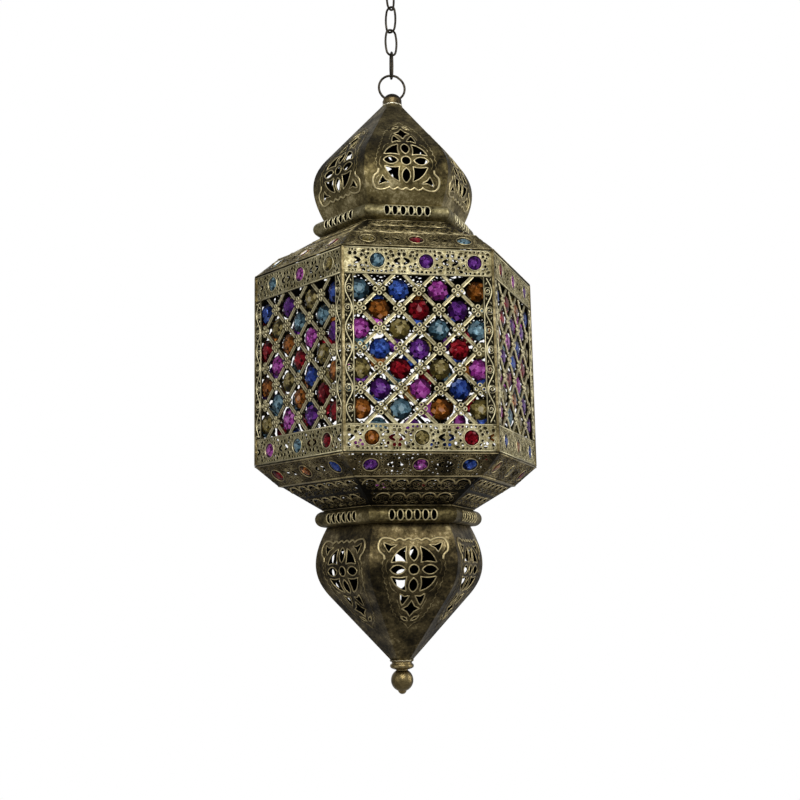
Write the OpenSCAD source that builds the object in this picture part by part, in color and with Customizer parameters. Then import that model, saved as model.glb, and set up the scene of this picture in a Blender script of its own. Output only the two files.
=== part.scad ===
// Hanging six-sided lantern of pierced brass sheet, set with faceted acrylic stones.
// Millimetres, +Z up. The origin is the seat of the S-hook, the point that the lantern hangs from.
// Heights inside the modules are measured from the middle of the drum; drum_z moves them down.
// A side is described facing -Y: x runs to the right, n is the distance out from the axis.

/* [Drum] */
// Distance across the drum's corners
drum_d = 250; // [248:1:252]
// Height of the drum between its two shoulders
drum_h = 166.4; // [165.4:0.2:167.4]
// Thickness of the brass sheet
sheet = 1; // [0.8:0.1:1]
// Height of the top and bottom bands of a side
band_h = 22.9; // [22:0.1:23.4]
// Width of the scroll border at each end of a side
border_w = 9.5; // [9:0.1:10]
// Thickness of the folded strips on the corners
post_t = 0.8; // [0.6:0.1:0.8]
// Width of each leg of a corner strip
post_leg = 2; // [1.8:0.1:2.2]

/* [Lattice and stones] */
// Half the diagonal of a lattice cell
pitch = 16.1; // [16:0.05:16.2]
// Width of a lattice bar
bar_w = 2.7; // [2.4:0.1:2.9]
// Thickness of the lattice
bar_t = 1.8; // [1.6:0.1:2]
// Width of the claws that hold a stone
claw_w = 1.4; // [1.2:0.1:1.6]
// Diameter of a lattice stone
stone_d = 16.4; // [16:0.1:16.8]
// Diameter of a stone in the bands and shoulders
small_stone_d = 12; // [11.6:0.1:12.2]
// Distance between stones in the bands and shoulders
small_stone_gap = 40; // [39:0.5:41]

/* [Shoulders, collars and domes] */
// Corner radius where the two shoulder bands meet
shoulder_r = 104; // [103:0.5:105]
// Height of that meeting line above the middle of the drum
shoulder_z = 100.5; // [100:0.5:101]
// Height of the collar tube above the middle of the drum
collar_z = 128.5; // [128.5:0.1:129]
// Corner radius of the collar tube's centre line
collar_r = 65.5; // [65:0.1:66]
// Radius of the collar tube
collar_tube_r = 6.8; // [6.6:0.1:6.9]
// Height of a dome's tip above the middle of the drum
dome_tip_z = 248.2; // [247:0.2:249]

/* [Chain] */
// Length of a chain link over its wire
link_l = 26.8; // [26:0.2:28]
// Width of a chain link over its wire
link_w = 13; // [12.6:0.2:13.4]
// Diameter of the link wire
link_wire_d = 2; // [1.8:0.1:2]
// Radius of the split ring's centre line
ring_r = 12; // [12:0.1:12.5]
// Radius of the split ring's section
ring_wire_r = 1.1; // [1:0.05:1.15]
// Radius of the S-hook's wire
hook_wire_r = 1.4; // [1.2:0.1:1.5]

/* [Door] */
// Play between the door and the frame at its edges
door_gap = 0.6; // [0.5:0.1:0.8]
// Radius of the hinge pins
hinge_pin_r = 1; // [0.9:0.05:1]
// Radius of the hinge knuckles
knuckle_r = 2.2; // [2.1:0.05:2.2]

/* [Candle holder] */
// Inside radius of the candle cup
cup_r = 20.1; // [19:0.1:21]
// Height of the candle cup
cup_h = 14; // [12:0.5:16]

/* [Hidden] */
$fn = 96;
eps = 0.01;
sides = 6;
side_angle = 360 / sides;
half_angle = side_angle / 2;
// Play between mitred sheets, and between hanging wires that touch
mitre_gap = 0.1;
hang_gap = 0.3;
// Running clearance of a pin in its hole
pin_play = 0.05;
big = 300;

// Side names in order, counter-clockwise from the front seen from above
FRONT = 0;
FRONT_RIGHT = 1;
BACK_RIGHT = 2;
BACK = 3;
DOOR = 4;
FRONT_LEFT = 5;
FIXED_SIDES = [FRONT, FRONT_RIGHT, BACK_RIGHT, BACK, FRONT_LEFT];

// Distances out from the axis
outer_n = drum_d / 2 * cos(half_angle);
panel_n = outer_n - post_t;
back_n = panel_n - sheet;
lattice_n = back_n - bar_t;
side_half_w = drum_d / 4;
half_h = drum_h / 2;
panel_half_h = half_h - 0.8;
panel_half_w = back_n * tan(half_angle) - 0.16;
window_half_w = side_half_w - border_w;
window_half_h = half_h - band_h;
door_half_w = panel_half_w - 0.5;
door_half_h = panel_half_h - door_gap;

// Lattice
cell_half = pitch - bar_w / sqrt(2);
cell_side = cell_half / sqrt(2);
claw_reach = stone_d / 2 + 0.05;
lattice_half_w = lattice_n * tan(half_angle) - 0.8;
lattice_rim = 1.4;
lattice_half_h = window_half_h + 6.2;
small_stone_z = (half_h + window_half_h) / 2 - 0.2;
// How far the pattern of each side's top band lies off centre
top_band_shift = [6.3, 0, 0, 0, 0, 4.5];

// Chain heights above the middle of the drum, from the knob up
knob_z = dome_tip_z;
pivot_z = knob_z + 5.7;
ring_z = pivot_z + ring_r;
link_half = (link_l - link_wire_d) / 2;
link_pitch = link_l - 2 * link_wire_d - hang_gap;
link4_z = ring_z + ring_r - ring_wire_r - link_wire_d / 2 - hang_gap + link_half;
link_twist = [43.7, -46.3, 13.7, 90];
hook_low_r = 6;
hook_top_r = 8;
hook_rise = 26;
hook_twist = -46.3;
hook_end = 20;
hook_z = link4_z + 3 * link_pitch + link_half - link_wire_d / 2 - hook_wire_r - hang_gap + hook_low_r;
seat_z = hook_z + hook_rise + hook_top_r - hook_wire_r;
drum_z = -seat_z;

// Colours
brass = "#8f7a45";
bright_brass = "#b59a5c";
dark_brass = "#5d4f30";
bronze = "#3a352b";

// The stones of each side, named by colour: r red, a amber, o olive, t teal, b blue, v violet, m magenta.
// In order: top band, seven lattice rows, bottom band, upper shoulder, lower shoulder.
STONES = [
  ["tvv", "tbma", "arv", "mott", "bvr", "orom", "vmb", "atao", "aor", "ort", "vmb"],
  ["rmv", "brab", "rvv", "ambo", "vbr", "ormo", "oav", "mtov", "bab", "vta", "aor"],
  ["otb", "marv", "tob", "vrat", "mbo", "tvra", "rbm", "oatb", "vrt", "mob", "tav"],
  ["bma", "ovtr", "bam", "rtvo", "abt", "mobr", "vta", "brma", "tom", "abr", "rmo"],
  ["arb", "tvar", "bra", "vtbr", "arv", "btav", "rvt", "abrt", "vab", "brv", "tra"],
  ["tmo", "bvob", "ott", "ramv", "mro", "aoba", "tar", "omvr", "mtr", "tar", "rab"]
];
TOP_BAND = 0;
BOTTOM_BAND = 8;
UPPER_SHOULDER = 9;
LOWER_SHOULDER = 10;
LATTICE_ROWS = 7;
STONE_COLOUR = [["r", "#a01020"], ["a", "#c8641a"], ["o", "#6f6a20"], ["t", "#3f8f98"],
  ["b", "#2438a0"], ["v", "#4a2080"], ["m", "#b030a0"]];

// ---------------------------------------------------------------- helpers

// Moves a shape from the middle of the drum to its place under the hook
module at_drum() { translate([0, 0, drum_z]) children(); }

// Turns a shape made for the front on to side k
module on_side(k) { rotate([0, 0, side_angle * k]) children(); }

// Puts a flat outline, drawn in x and z, on a side between n and n + t
module plate(n, t) {
  translate([0, -n, 0]) rotate([90, 0, 0]) linear_extrude(height = t) children();
}

// Runs a section, drawn as [-n, z], along a side
module along_side() {
  rotate([90, 0, 90]) linear_extrude(height = drum_d, center = true) children();
}

// The sixth of the lantern that belongs to the front, less half the mitre play
module sector(gap = mitre_gap) {
  half = big * tan(half_angle);
  translate([0, 0, -big]) linear_extrude(height = 2 * big)
    polygon([[0, -gap], [-half, -big - gap], [half, -big - gap]]);
}

// A length of round wire bent to radius r in the XZ plane, starting on +x and turning upwards
module bent_wire(r, wire_r, angle) {
  rotate([90, 0, 0]) rotate_extrude(angle = angle) translate([r, 0]) circle(r = wire_r);
}

// A slot with round ends, standing upright
module slot_2d(w, h) {
  square([w, h - w], center = true);
  translate([0, (h - w) / 2]) circle(d = w);
  translate([0, (w - h) / 2]) circle(d = w);
}

// A pointed lens, lying along x
module lens_2d(l, w) {
  r = (l * l + w * w) / (4 * w);
  intersection() {
    translate([0, r - w / 2]) circle(r = r);
    translate([0, w / 2 - r]) circle(r = r);
  }
}

// Places of the stones: small ones three to a band, large ones in rows counted from the top
function small_x(i) = (i - 1) * small_stone_gap;
function row_x(i, n) = (2 * i - (n - 1)) * pitch;
function row_z(j) = (4 - j) * pitch;

// ---------------------------------------------------------------- chain

// Two open curls on a straight spine. It leans so that their centres hang in line.
module s_hook() {
  bend = 180 + hook_end;
  across = hook_low_r + hook_top_r;
  spine = sqrt(hook_rise * hook_rise - across * across);
  lean = asin(across / hook_rise);
  color(bronze) at_drum() translate([0, 0, hook_z]) rotate([0, -lean, hook_twist]) {
    mirror([0, 0, 1]) bent_wire(hook_low_r, hook_wire_r, bend);
    translate([hook_low_r, 0, 0]) cylinder(r = hook_wire_r, h = spine);
    translate([across, 0, spine]) mirror([1, 0, 0]) bent_wire(hook_top_r, hook_wire_r, bend);
  }
}

// A link: two half rings joined by two straight lengths
module chain_link(i) {
  bend_r = (link_w - link_wire_d) / 2;
  straight = 2 * (link_half - bend_r);
  z = link4_z + (4 - i) * link_pitch;
  color(bronze) at_drum() translate([0, 0, z]) rotate([0, 0, link_twist[i - 1]])
    for (s = [0, 1]) mirror([0, 0, s]) {
      translate([0, 0, straight / 2]) bent_wire(bend_r, link_wire_d / 2, 180);
      mirror([s, 0, 0]) translate([bend_r, 0, -straight / 2])
        cylinder(d = link_wire_d, h = straight);
    }
}

module split_ring() {
  color(bronze) at_drum() translate([0, 0, ring_z]) rotate([90, 0, 0])
    rotate_extrude() translate([ring_r, 0]) circle(r = ring_wire_r);
}

// Domed cap with a cross hole, through which the split ring passes
module top_knob() {
  knob_r = 8.8;
  wall_h = 5.2;
  dome_h = 6.4;
  dome_r = (knob_r * knob_r + dome_h * dome_h) / (2 * dome_h);
  hole_r = 2.75;
  hole_rise = 0.75;
  color(dark_brass) at_drum() difference() {
    union() {
      translate([0, 0, knob_z]) cylinder(r = knob_r, h = wall_h);
      translate([0, 0, knob_z + wall_h]) intersection() {
        translate([0, 0, dome_h - dome_r]) sphere(r = dome_r);
        cylinder(r = knob_r, h = dome_h + 1);
      }
    }
    translate([0, 0, pivot_z + hole_rise]) rotate([0, 90, 0])
      cylinder(r = hole_r, h = 4 * knob_r, center = true);
  }
}

// ---------------------------------------------------------------- domes

// Corner line of a dome: a curve from the collar round the widest part, then straight to the tip
dome_foot = [63, 135.4];
dome_pull_1 = [76.3, 160];
dome_pull_2 = [77, 176.6];
dome_bend = [60.5, 194];
dome_tip = [9.1, dome_tip_z];
dome_steps = 10;
function bezier(a, b, c, d, t) =
  pow(1 - t, 3) * a + 3 * pow(1 - t, 2) * t * b + 3 * (1 - t) * t * t * c + pow(t, 3) * d;
dome_line = [
  for (i = [0:dome_steps]) bezier(dome_foot, dome_pull_1, dome_pull_2, dome_bend, i / dome_steps),
  dome_tip
];
dome_face = [for (p = dome_line) [-p.x * cos(half_angle), p.y]];
function unit(v) = v / norm(v);
// Direction into the dome at point i of a line
function inward(line, i) = let(
  last = len(line) - 1,
  d = unit(line[min(i + 1, last)] - line[max(i - 1, 0)])
) [d.y, -d.x];
dome_inside = [for (i = [0:len(dome_face) - 1]) dome_face[i] + sheet * inward(dome_face, i)];

// The piercings of a gore, flattened on to the XZ plane
module gore_piercings() {
  centre_z = 172.8;
  petal_l = 10.8;
  petal_w = 5.6;
  petal_reach = 13.6;
  triangle_z = 153.2;
  star_z = 204.6;
  translate([0, centre_z]) {
    circle(r = 3.4);
    for (s = [-1, 1]) translate([s * petal_reach, 0]) lens_2d(petal_l, petal_w);
    translate([0, 13]) rotate(90) lens_2d(petal_l - 2, petal_w);
    translate([0, -14.4]) rotate(90) lens_2d(petal_l - 1, petal_w);
    for (s = [-1, 1]) {
      polygon([[s * 5, -7], [s * 6.5, -18.5], [s * 13, -15], [s * 18, -6]]);
      polygon([[s * 5, 6.5], [s * 6.5, 16], [s * 12.5, 13], [s * 17, 5.5]]);
    }
  }
  for (s = [-1, 1])
    polygon([[s * 14, triangle_z], [s * 22.5, triangle_z - 1.2], [s * 20, triangle_z + 6]]);
  polygon([[0, star_z - 5.5], [5.6, star_z], [0, star_z + 5.5], [-5.6, star_z]]);
}

module gore(k, up) {
  color(up > 0 ? brass : dark_brass) at_drum() on_side(k) mirror([0, 0, up > 0 ? 0 : 1])
    difference() {
      intersection() {
        along_side() polygon(concat(dome_face, [for (i = [len(dome_inside) - 1:-1:0]) dome_inside[i]]));
        sector();
      }
      plate(0, outer_n) gore_piercings();
    }
}

// Six mitred lengths of pierced tube
module collar(up) {
  tube_n = collar_r * cos(half_angle);
  slot_gap = 7.2;
  slots = 6;
  color(up > 0 ? bright_brass : brass) at_drum() mirror([0, 0, up > 0 ? 0 : 1])
    for (k = [0:sides - 1]) on_side(k) difference() {
      intersection() {
        translate([0, -tube_n, collar_z]) rotate([0, 90, 0]) difference() {
          cylinder(r = collar_tube_r, h = 1.5 * collar_r, center = true);
          cylinder(r = collar_tube_r - sheet, h = 2 * collar_r, center = true);
        }
        sector();
      }
      for (i = [0:slots - 1])
        translate([(i - (slots - 1) / 2) * slot_gap, 0, 0])
          plate(tube_n + 2, 2 * collar_tube_r) translate([0, collar_z]) slot_2d(3.2, 8.4);
    }
}

// ---------------------------------------------------------------- shoulders

gem_band_foot = [outer_n, half_h];
gem_band_top = [shoulder_r * cos(half_angle), shoulder_z];
gem_band_dir = unit(gem_band_top - gem_band_foot);
gem_band_out = [gem_band_dir.y, -gem_band_dir.x];
gem_band_mid = (gem_band_foot + gem_band_top) / 2;
gem_band_slope = atan2(gem_band_dir.y, -gem_band_dir.x);
pierced_foot = gem_band_top - (sheet + pin_play) * gem_band_out;
pierced_top = [56.9, collar_z - collar_tube_r - 0.1];
pierced_dir = unit(pierced_top - pierced_foot);
pierced_out = [pierced_dir.y, -pierced_dir.x];
pierced_slope = atan2(pierced_dir.y, -pierced_dir.x);

// A flat sloping strip between two points given as [n, z]
module slope(a, b, out) {
  inner_a = a - sheet * out;
  inner_b = b - sheet * out;
  along_side() polygon([[-a.x, a.y], [-b.x, b.y], [-inner_b.x, inner_b.y], [-inner_a.x, inner_a.y]]);
}

// Puts a shape, made round the Z axis, square on a slope at point p given as [n, z]
module on_slope(p, angle) { translate([0, -p.x, p.y]) rotate([angle, 0, 0]) children(); }

module gem_band(up) {
  color(up > 0 ? brass : dark_brass) at_drum() mirror([0, 0, up > 0 ? 0 : 1])
    for (k = [0:sides - 1]) on_side(k) difference() {
      intersection() {
        slope(gem_band_foot, gem_band_top, gem_band_out);
        sector();
      }
      for (i = [0:2]) translate([small_x(i), 0, 0]) on_slope(gem_band_mid, gem_band_slope)
        cylinder(d = small_stone_d + 2 * pin_play, h = 6 * sheet, center = true);
    }
}

module pierced_band(up) {
  holes = 9;
  hole_gap = 8.6;
  middle = (pierced_foot + pierced_top) / 2;
  color(up > 0 ? brass : dark_brass) at_drum() mirror([0, 0, up > 0 ? 0 : 1])
    for (k = [0:sides - 1]) on_side(k) difference() {
      intersection() {
        slope(pierced_foot, pierced_top, pierced_out);
        sector();
      }
      for (i = [0:holes - 1])
        translate([(i - (holes - 1) / 2) * hole_gap, 0, 0]) on_slope(middle, pierced_slope)
          cylinder(r = 2.4, h = 6 * sheet, center = true);
    }
}

// ---------------------------------------------------------------- drum

// Folded strips on the six corners. At the door they cover the fixed side only.
module corner_posts() {
  outer_r = drum_d / 2;
  inner_r = panel_n / cos(half_angle);
  set_back = post_t * tan(half_angle);
  color(bright_brass) at_drum() for (k = [0:sides - 1]) on_side(k)
    translate([0, 0, -panel_half_h]) linear_extrude(height = 2 * panel_half_h) {
      corner = outer_r * [cos(60), -sin(60)];
      fold = inner_r * [cos(60), -sin(60)];
      left = [-1, 0];
      right = [cos(60), sin(60)];
      if (k != DOOR)
        polygon([corner + post_leg * left, corner, fold, fold + (post_leg - set_back) * left]);
      if (k != DOOR - 1)
        polygon([corner, corner + post_leg * right, fold + (post_leg - set_back) * right, fold]);
    }
}

// Flat bars inside the top and bottom of the drum, which the sides are soldered to.
// The one at the door is set back, and the door closes against it.
module drum_rims() {
  rim_h = 4;
  rim_t = 1;
  color(dark_brass) at_drum() for (s = [-1, 1]) for (k = [0:sides - 1]) on_side(k) intersection() {
    rim_n = back_n - rim_t - (k == DOOR ? 0.35 : 0);
    plate(rim_n, rim_t) translate([0, s * (panel_half_h - rim_h / 2)])
      square([2 * side_half_w, rim_h], center = true);
    sector();
  }
}

// Chevron piercing of a band, pointing along x
module chevron_2d(s) {
  polygon([[s * -3.4, 0], [s * 2.2, 3.6], [s * 3.4, 2.4], [s * -0.4, 0], [s * 3.4, -2.4], [s * 2.2, -3.6]]);
}

// The four strips round the window of a side: two bands and two scroll borders.
// The pattern of the top band lies off centre by shift.
module side_strips(half_w, panel_h, shift) {
  scroll_holes = 7;
  joint = 0.05;
  border = half_w - window_half_w;
  for (s = [-1, 1]) {
    plate(back_n, sheet) difference() {
      translate([-half_w, s > 0 ? window_half_h + joint : -panel_h])
        square([2 * half_w, panel_h - window_half_h - joint]);
      translate([s > 0 ? shift : 0, s * small_stone_z]) {
        for (i = [0:2]) translate([small_x(i), 0]) circle(d = small_stone_d + 2 * pin_play);
        for (i = [-1, 1]) for (c = [-1, 1])
          translate([i * small_stone_gap / 2 + c * 5, 0]) chevron_2d(c);
      }
    }
    plate(back_n, sheet) translate([s > 0 ? window_half_w : -half_w, 0]) difference() {
      translate([0, joint - window_half_h]) square([border, 2 * (window_half_h - joint)]);
      for (j = [0:scroll_holes - 1])
        translate([border / 2, (j - (scroll_holes - 1) / 2) * pitch]) circle(r = 2.5);
    }
  }
}

module panel(k) {
  color(bright_brass) at_drum() on_side(k) side_strips(panel_half_w, panel_half_h, top_band_shift[k]);
}

// Corner c of the clear cell at (x, z), cut off square where it passes the lattice's rim
function cell_corner(x, z, c) = let(
  limit = lattice_half_w - lattice_rim,
  p = [x + cell_half * cos(90 * c), z + cell_half * sin(90 * c)],
  over = abs(p.x) - limit,
  s = sign(p.x)
) over <= 0 ? [p] : [[s * limit, z - s * over], [s * limit, z + s * over]];

// The claw in the middle of the cell's side c
function cell_claw(x, z, c) = let(a = 45 + 90 * c, w = claw_w / 2) [
  for (p = [[cell_side, -w], [claw_reach, -w], [claw_reach, w], [cell_side, w]])
    [x + p.x * cos(a) - p.y * sin(a), z + p.x * sin(a) + p.y * cos(a)]
];
function cell(x, z) = [for (c = [0:3]) each concat(cell_corner(x, z, c), cell_claw(x, z, c))];
// Part cells along the top, the bottom and the two ends
function half_cell_top(x, s) = let(z = 4 * pitch * s)
  [[x - cell_half, z], [x, z - s * cell_half], [x + cell_half, z]];
function half_cell_end(z, s) = let(
  limit = lattice_half_w - lattice_rim,
  reach = limit - 4 * pitch + cell_half
) [[s * (4 * pitch - cell_half), z], [s * limit, z + reach], [s * limit, z - reach]];

function row_count(j) = j % 2 == 1 ? 4 : 3;
lattice_cells = concat(
  [for (j = [1:LATTICE_ROWS]) for (i = [0:row_count(j) - 1]) cell(row_x(i, row_count(j)), row_z(j))],
  [for (s = [-1, 1]) for (i = [-1:1]) half_cell_top(2 * i * pitch, s)],
  [for (s = [-1, 1]) for (i = [-1:1]) half_cell_end(2 * i * pitch, s)]
);
lattice_outline = [
  [-lattice_half_w, -lattice_half_h], [lattice_half_w, -lattice_half_h],
  [lattice_half_w, lattice_half_h], [-lattice_half_w, lattice_half_h]
];
function path_starts(paths, i = 0, at = 0) =
  i == len(paths) ? [] : concat([at], path_starts(paths, i + 1, at + len(paths[i])));

// Diamond lattice as one pierced sheet with claws round every stone
module lattice_plate() {
  paths = concat([lattice_outline], lattice_cells);
  starts = path_starts(paths);
  plate(lattice_n, bar_t) polygon(
    points = [for (p = paths) each p],
    paths = [for (i = [0:len(paths) - 1]) [for (j = [0:len(paths[i]) - 1]) starts[i] + j]]
  );
}

module lattice(k) {
  color(brass) at_drum() on_side(k) lattice_plate();
}

// ---------------------------------------------------------------- stones

// A faceted stone as a solid of revolution, flat at the back, with its girdle at z = 0
module stone(d) {
  r = d / 2;
  rotate_extrude() polygon([
    [0, -0.17 * r], [0.82 * r, -0.17 * r], [r, 0], [r, 0.05 * r], [0.58 * r, 0.2 * r], [0, 0.2 * r]
  ]);
}

module stone_on_side(x, z, d, n) {
  translate([x, -n, z]) rotate([90, 0, 0]) stone(d);
}

// Every stone of one colour on side k
module side_stones(k, colour) {
  girdle_n = lattice_n + 0.1;
  band_girdle_n = panel_n - 0.2;
  rows = STONES[k];
  for (j = [1:LATTICE_ROWS]) for (i = [0:len(rows[j]) - 1])
    if (rows[j][i] == colour) stone_on_side(row_x(i, len(rows[j])), row_z(j), stone_d, girdle_n);
  for (i = [0:2]) {
    if (rows[TOP_BAND][i] == colour)
      stone_on_side(small_x(i) + top_band_shift[k], small_stone_z, small_stone_d, band_girdle_n);
    if (rows[BOTTOM_BAND][i] == colour)
      stone_on_side(small_x(i), -small_stone_z, small_stone_d, band_girdle_n);
  }
}

// Every stone of one colour in the shoulders above and below side k
module shoulder_stones(k, colour) {
  seat_depth = 0.3;
  rows = STONES[k];
  for (i = [0:2]) translate([small_x(i), 0, 0]) {
    if (rows[UPPER_SHOULDER][i] == colour)
      on_slope(gem_band_mid, gem_band_slope) translate([0, 0, -seat_depth]) stone(small_stone_d);
    if (rows[LOWER_SHOULDER][i] == colour)
      mirror([0, 0, 1]) on_slope(gem_band_mid, gem_band_slope) translate([0, 0, -seat_depth])
        stone(small_stone_d);
  }
}

function colour_code(letter) = [for (c = STONE_COLOUR) if (c[0] == letter) c[1]][0];

module frame_stones(letter) {
  color(colour_code(letter)) at_drum() {
    for (k = FIXED_SIDES) on_side(k) side_stones(k, letter);
    for (k = [0:sides - 1]) on_side(k) shoulder_stones(k, letter);
  }
}

module door_stones(letter) {
  color(colour_code(letter)) at_drum() on_side(DOOR) side_stones(DOOR, letter);
}

// ---------------------------------------------------------------- door

hinge_z = 48;
leaf_half_h = 12;
middle_knuckle = 3.9;
outer_knuckle = [4.2, leaf_half_h];
hinge_r = drum_d / 2 + 2.6;
hinge_x = hinge_r * sin(half_angle);
hinge_n = hinge_r * cos(half_angle);
leaf_t = 0.8;
leaf_w = 14;
latch_x = 56.2;
latch_z = -71;
latch_spindle_r = 1.2;

module door_panel() {
  color(bright_brass) at_drum() on_side(DOOR) difference() {
    side_strips(door_half_w, door_half_h, top_band_shift[DOOR]);
    translate([latch_x, 0, latch_z]) rotate([90, 0, 0])
      cylinder(r = latch_spindle_r + pin_play, h = drum_d);
  }
}

module door_lattice() {
  color(brass) at_drum() on_side(DOOR) lattice_plate();
}

// Section of a hinge leaf in plan, as [x, -n] with the knuckle's centre at +x. Each leaf lies
// on its own side of the corner: foot is where it rests and step lifts it over the corner strip.
module leaf_2d(step) {
  near = panel_n;
  over = panel_n + step;
  edge = side_half_w - 0.8;
  polygon([
    [edge - leaf_w, -near], [edge - post_leg, -near], [edge - post_leg, -over],
    [edge + step / 2, -over], [hinge_x - 1.4, 0.8 - hinge_n], [hinge_x - 2, -hinge_n],
    [edge - 1.5, -over - leaf_t - 0.4], [edge - 2.5, -over - leaf_t], [edge - leaf_w, -over - leaf_t]
  ]);
}

module knuckle(from, to) {
  translate([hinge_x, -hinge_n, from]) cylinder(r = knuckle_r, h = to - from);
}

module hinge_bore() {
  translate([hinge_x, -hinge_n, -big]) cylinder(r = hinge_pin_r + pin_play, h = 2 * big);
}

// The door's leaves, at the left end of the door side, with the middle knuckle of each hinge
module door_hinge_leaves() {
  color(dark_brass) at_drum() on_side(DOOR) mirror([1, 0, 0])
    for (z = [-hinge_z, hinge_z]) translate([0, 0, z]) difference() {
      union() {
        translate([0, 0, -middle_knuckle]) linear_extrude(height = 2 * middle_knuckle) leaf_2d(0);
        knuckle(-middle_knuckle, middle_knuckle);
      }
      hinge_bore();
    }
}

// The frame's leaves, at the right end of the back side, with the outer knuckles
module frame_hinge_leaves() {
  step = post_t + pin_play;
  color(dark_brass) at_drum() on_side(BACK)
    for (z = [-hinge_z, hinge_z]) for (s = [-1, 1]) translate([0, 0, z]) difference() {
      union() {
        from = s > 0 ? outer_knuckle[0] : -outer_knuckle[1];
        to = s > 0 ? outer_knuckle[1] : -outer_knuckle[0];
        translate([0, 0, from]) linear_extrude(height = to - from) leaf_2d(step);
        knuckle(from, to);
      }
      hinge_bore();
    }
}

module hinge_pins() {
  head_r = 1.7;
  head_h = 1;
  color(bronze) at_drum() on_side(BACK)
    for (z = [-hinge_z, hinge_z]) translate([hinge_x, -hinge_n, z]) {
      cylinder(r = hinge_pin_r, h = 2 * leaf_half_h + 0.4, center = true);
      for (s = [0, 1]) mirror([0, 0, s]) translate([0, 0, leaf_half_h]) cylinder(r = head_r, h = head_h);
    }
}

// The turn latch is drawn unlocked, with its bar level. Turned down it catches behind the rim.
latch_in_n = back_n - 2.8;

// A bar with round ends, its pivot at the origin, lying along -x
module latch_bar_2d(l, w) {
  circle(d = w);
  translate([-l, 0]) circle(d = w);
  translate([-l, -w / 2]) square([l, w]);
}

module latch_thumb_turn() {
  turn_n = panel_n + 0.3;
  color(bright_brass) at_drum() on_side(DOOR) translate([latch_x, 0, latch_z]) difference() {
    union() {
      plate(turn_n, 1.6) latch_bar_2d(6, 4.8);
      plate(turn_n + 1.6, 0.8) circle(r = 2.4);
      translate([-6, -turn_n - 1.6, 0]) rotate([90, 0, 0]) cylinder(r = 1.6, h = 2.4);
    }
    plate(turn_n - 1, 2.6) circle(r = latch_spindle_r);
  }
}

module latch_tongue() {
  color(bronze) at_drum() on_side(DOOR) translate([latch_x, 0, latch_z]) {
    plate(latch_in_n, 1.2) latch_bar_2d(8.8, 4.4);
    plate(latch_in_n + 1.2 - eps, panel_n + 1.9 - latch_in_n - 1.2 + eps) circle(r = latch_spindle_r);
  }
}

// ---------------------------------------------------------------- candle holder and finial

tray_r = 58;
tray_z = -(pierced_top.y - sheet / cos(pierced_slope)) + (tray_r - pierced_top.x) * tan(pierced_slope)
  + pin_play;

module candle_tray() {
  wall = 1.2;
  lip_h = 7;
  lip_out = 2.6;
  color(dark_brass) at_drum() translate([0, 0, tray_z]) rotate_extrude() polygon([
    [0, 0], [tray_r, 0], [tray_r + lip_out, lip_h], [tray_r + lip_out - wall, lip_h],
    [tray_r - wall, wall], [0, wall]
  ]);
}

module candle_cup() {
  wall = 1.1;
  floor_t = 1.2;
  color(brass) at_drum() translate([0, 0, tray_z + 1.2]) difference() {
    cylinder(r = cup_r + wall, h = cup_h);
    translate([0, 0, floor_t]) cylinder(r = cup_r, h = cup_h);
  }
}

module finial_flange() {
  stud_r = 3;
  color(bright_brass) at_drum() translate([0, 0, -dome_tip_z]) mirror([0, 0, 1]) rotate_extrude() polygon([
    [stud_r + pin_play, 0], [9.4, 0], [8.6, 1.4], [8.8, 2.4], [9.7, 2.9], [10.1, 3.8], [10.1, 5],
    [9.6, 5.9], [8.4, 6.6], [6.2, 7.4], [stud_r + pin_play, 7.4]
  ]);
}

module finial_ball() {
  stud_r = 3;
  ball_r = 9.5;
  ball_z = -264.4;
  tip_r = 3.75;
  tip_z = -272.3;
  color(bright_brass) at_drum() {
    translate([0, 0, ball_z]) sphere(r = ball_r);
    translate([0, 0, tip_z]) sphere(r = tip_r);
    translate([0, 0, ball_z]) cylinder(r = stud_r, h = -dome_tip_z - ball_z + 4);
    translate([0, 0, ball_z]) cylinder(r = 5, h = -dome_tip_z - 7.4 - ball_z - pin_play);
  }
}

// ---------------------------------------------------------------- parts

s_hook();
chain_link(1);  // chain_link_1
chain_link(2);  // chain_link_2
chain_link(3);  // chain_link_3
chain_link(4);  // chain_link_4
split_ring();
top_knob();
gore(FRONT, 1);  // upper_gore_front
gore(FRONT_RIGHT, 1);  // upper_gore_front_right
gore(BACK_RIGHT, 1);  // upper_gore_back_right
gore(BACK, 1);  // upper_gore_back
gore(DOOR, 1);  // upper_gore_back_left
gore(FRONT_LEFT, 1);  // upper_gore_front_left
collar(1);  // upper_collar
pierced_band(1);  // upper_pierced_band
gem_band(1);  // upper_gem_band
corner_posts();
drum_rims();
panel(FRONT);  // front_panel
panel(FRONT_RIGHT);  // front_right_panel
panel(BACK_RIGHT);  // back_right_panel
panel(BACK);  // back_panel
panel(FRONT_LEFT);  // front_left_panel
lattice(FRONT);  // front_lattice
lattice(FRONT_RIGHT);  // front_right_lattice
lattice(BACK_RIGHT);  // back_right_lattice
lattice(BACK);  // back_lattice
lattice(FRONT_LEFT);  // front_left_lattice
gem_band(-1);  // lower_gem_band
pierced_band(-1);  // lower_pierced_band
collar(-1);  // lower_collar
gore(FRONT, -1);  // lower_gore_front
gore(FRONT_RIGHT, -1);  // lower_gore_front_right
gore(BACK_RIGHT, -1);  // lower_gore_back_right
gore(BACK, -1);  // lower_gore_back
gore(DOOR, -1);  // lower_gore_back_left
gore(FRONT_LEFT, -1);  // lower_gore_front_left
finial_flange();
finial_ball();
candle_tray();
candle_cup();
frame_hinge_leaves();
hinge_pins();
door_panel();
door_lattice();
door_hinge_leaves();
latch_thumb_turn();
latch_tongue();
frame_stones("r");  // red_stones
frame_stones("a");  // amber_stones
frame_stones("o");  // olive_stones
frame_stones("t");  // teal_stones
frame_stones("b");  // blue_stones
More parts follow.
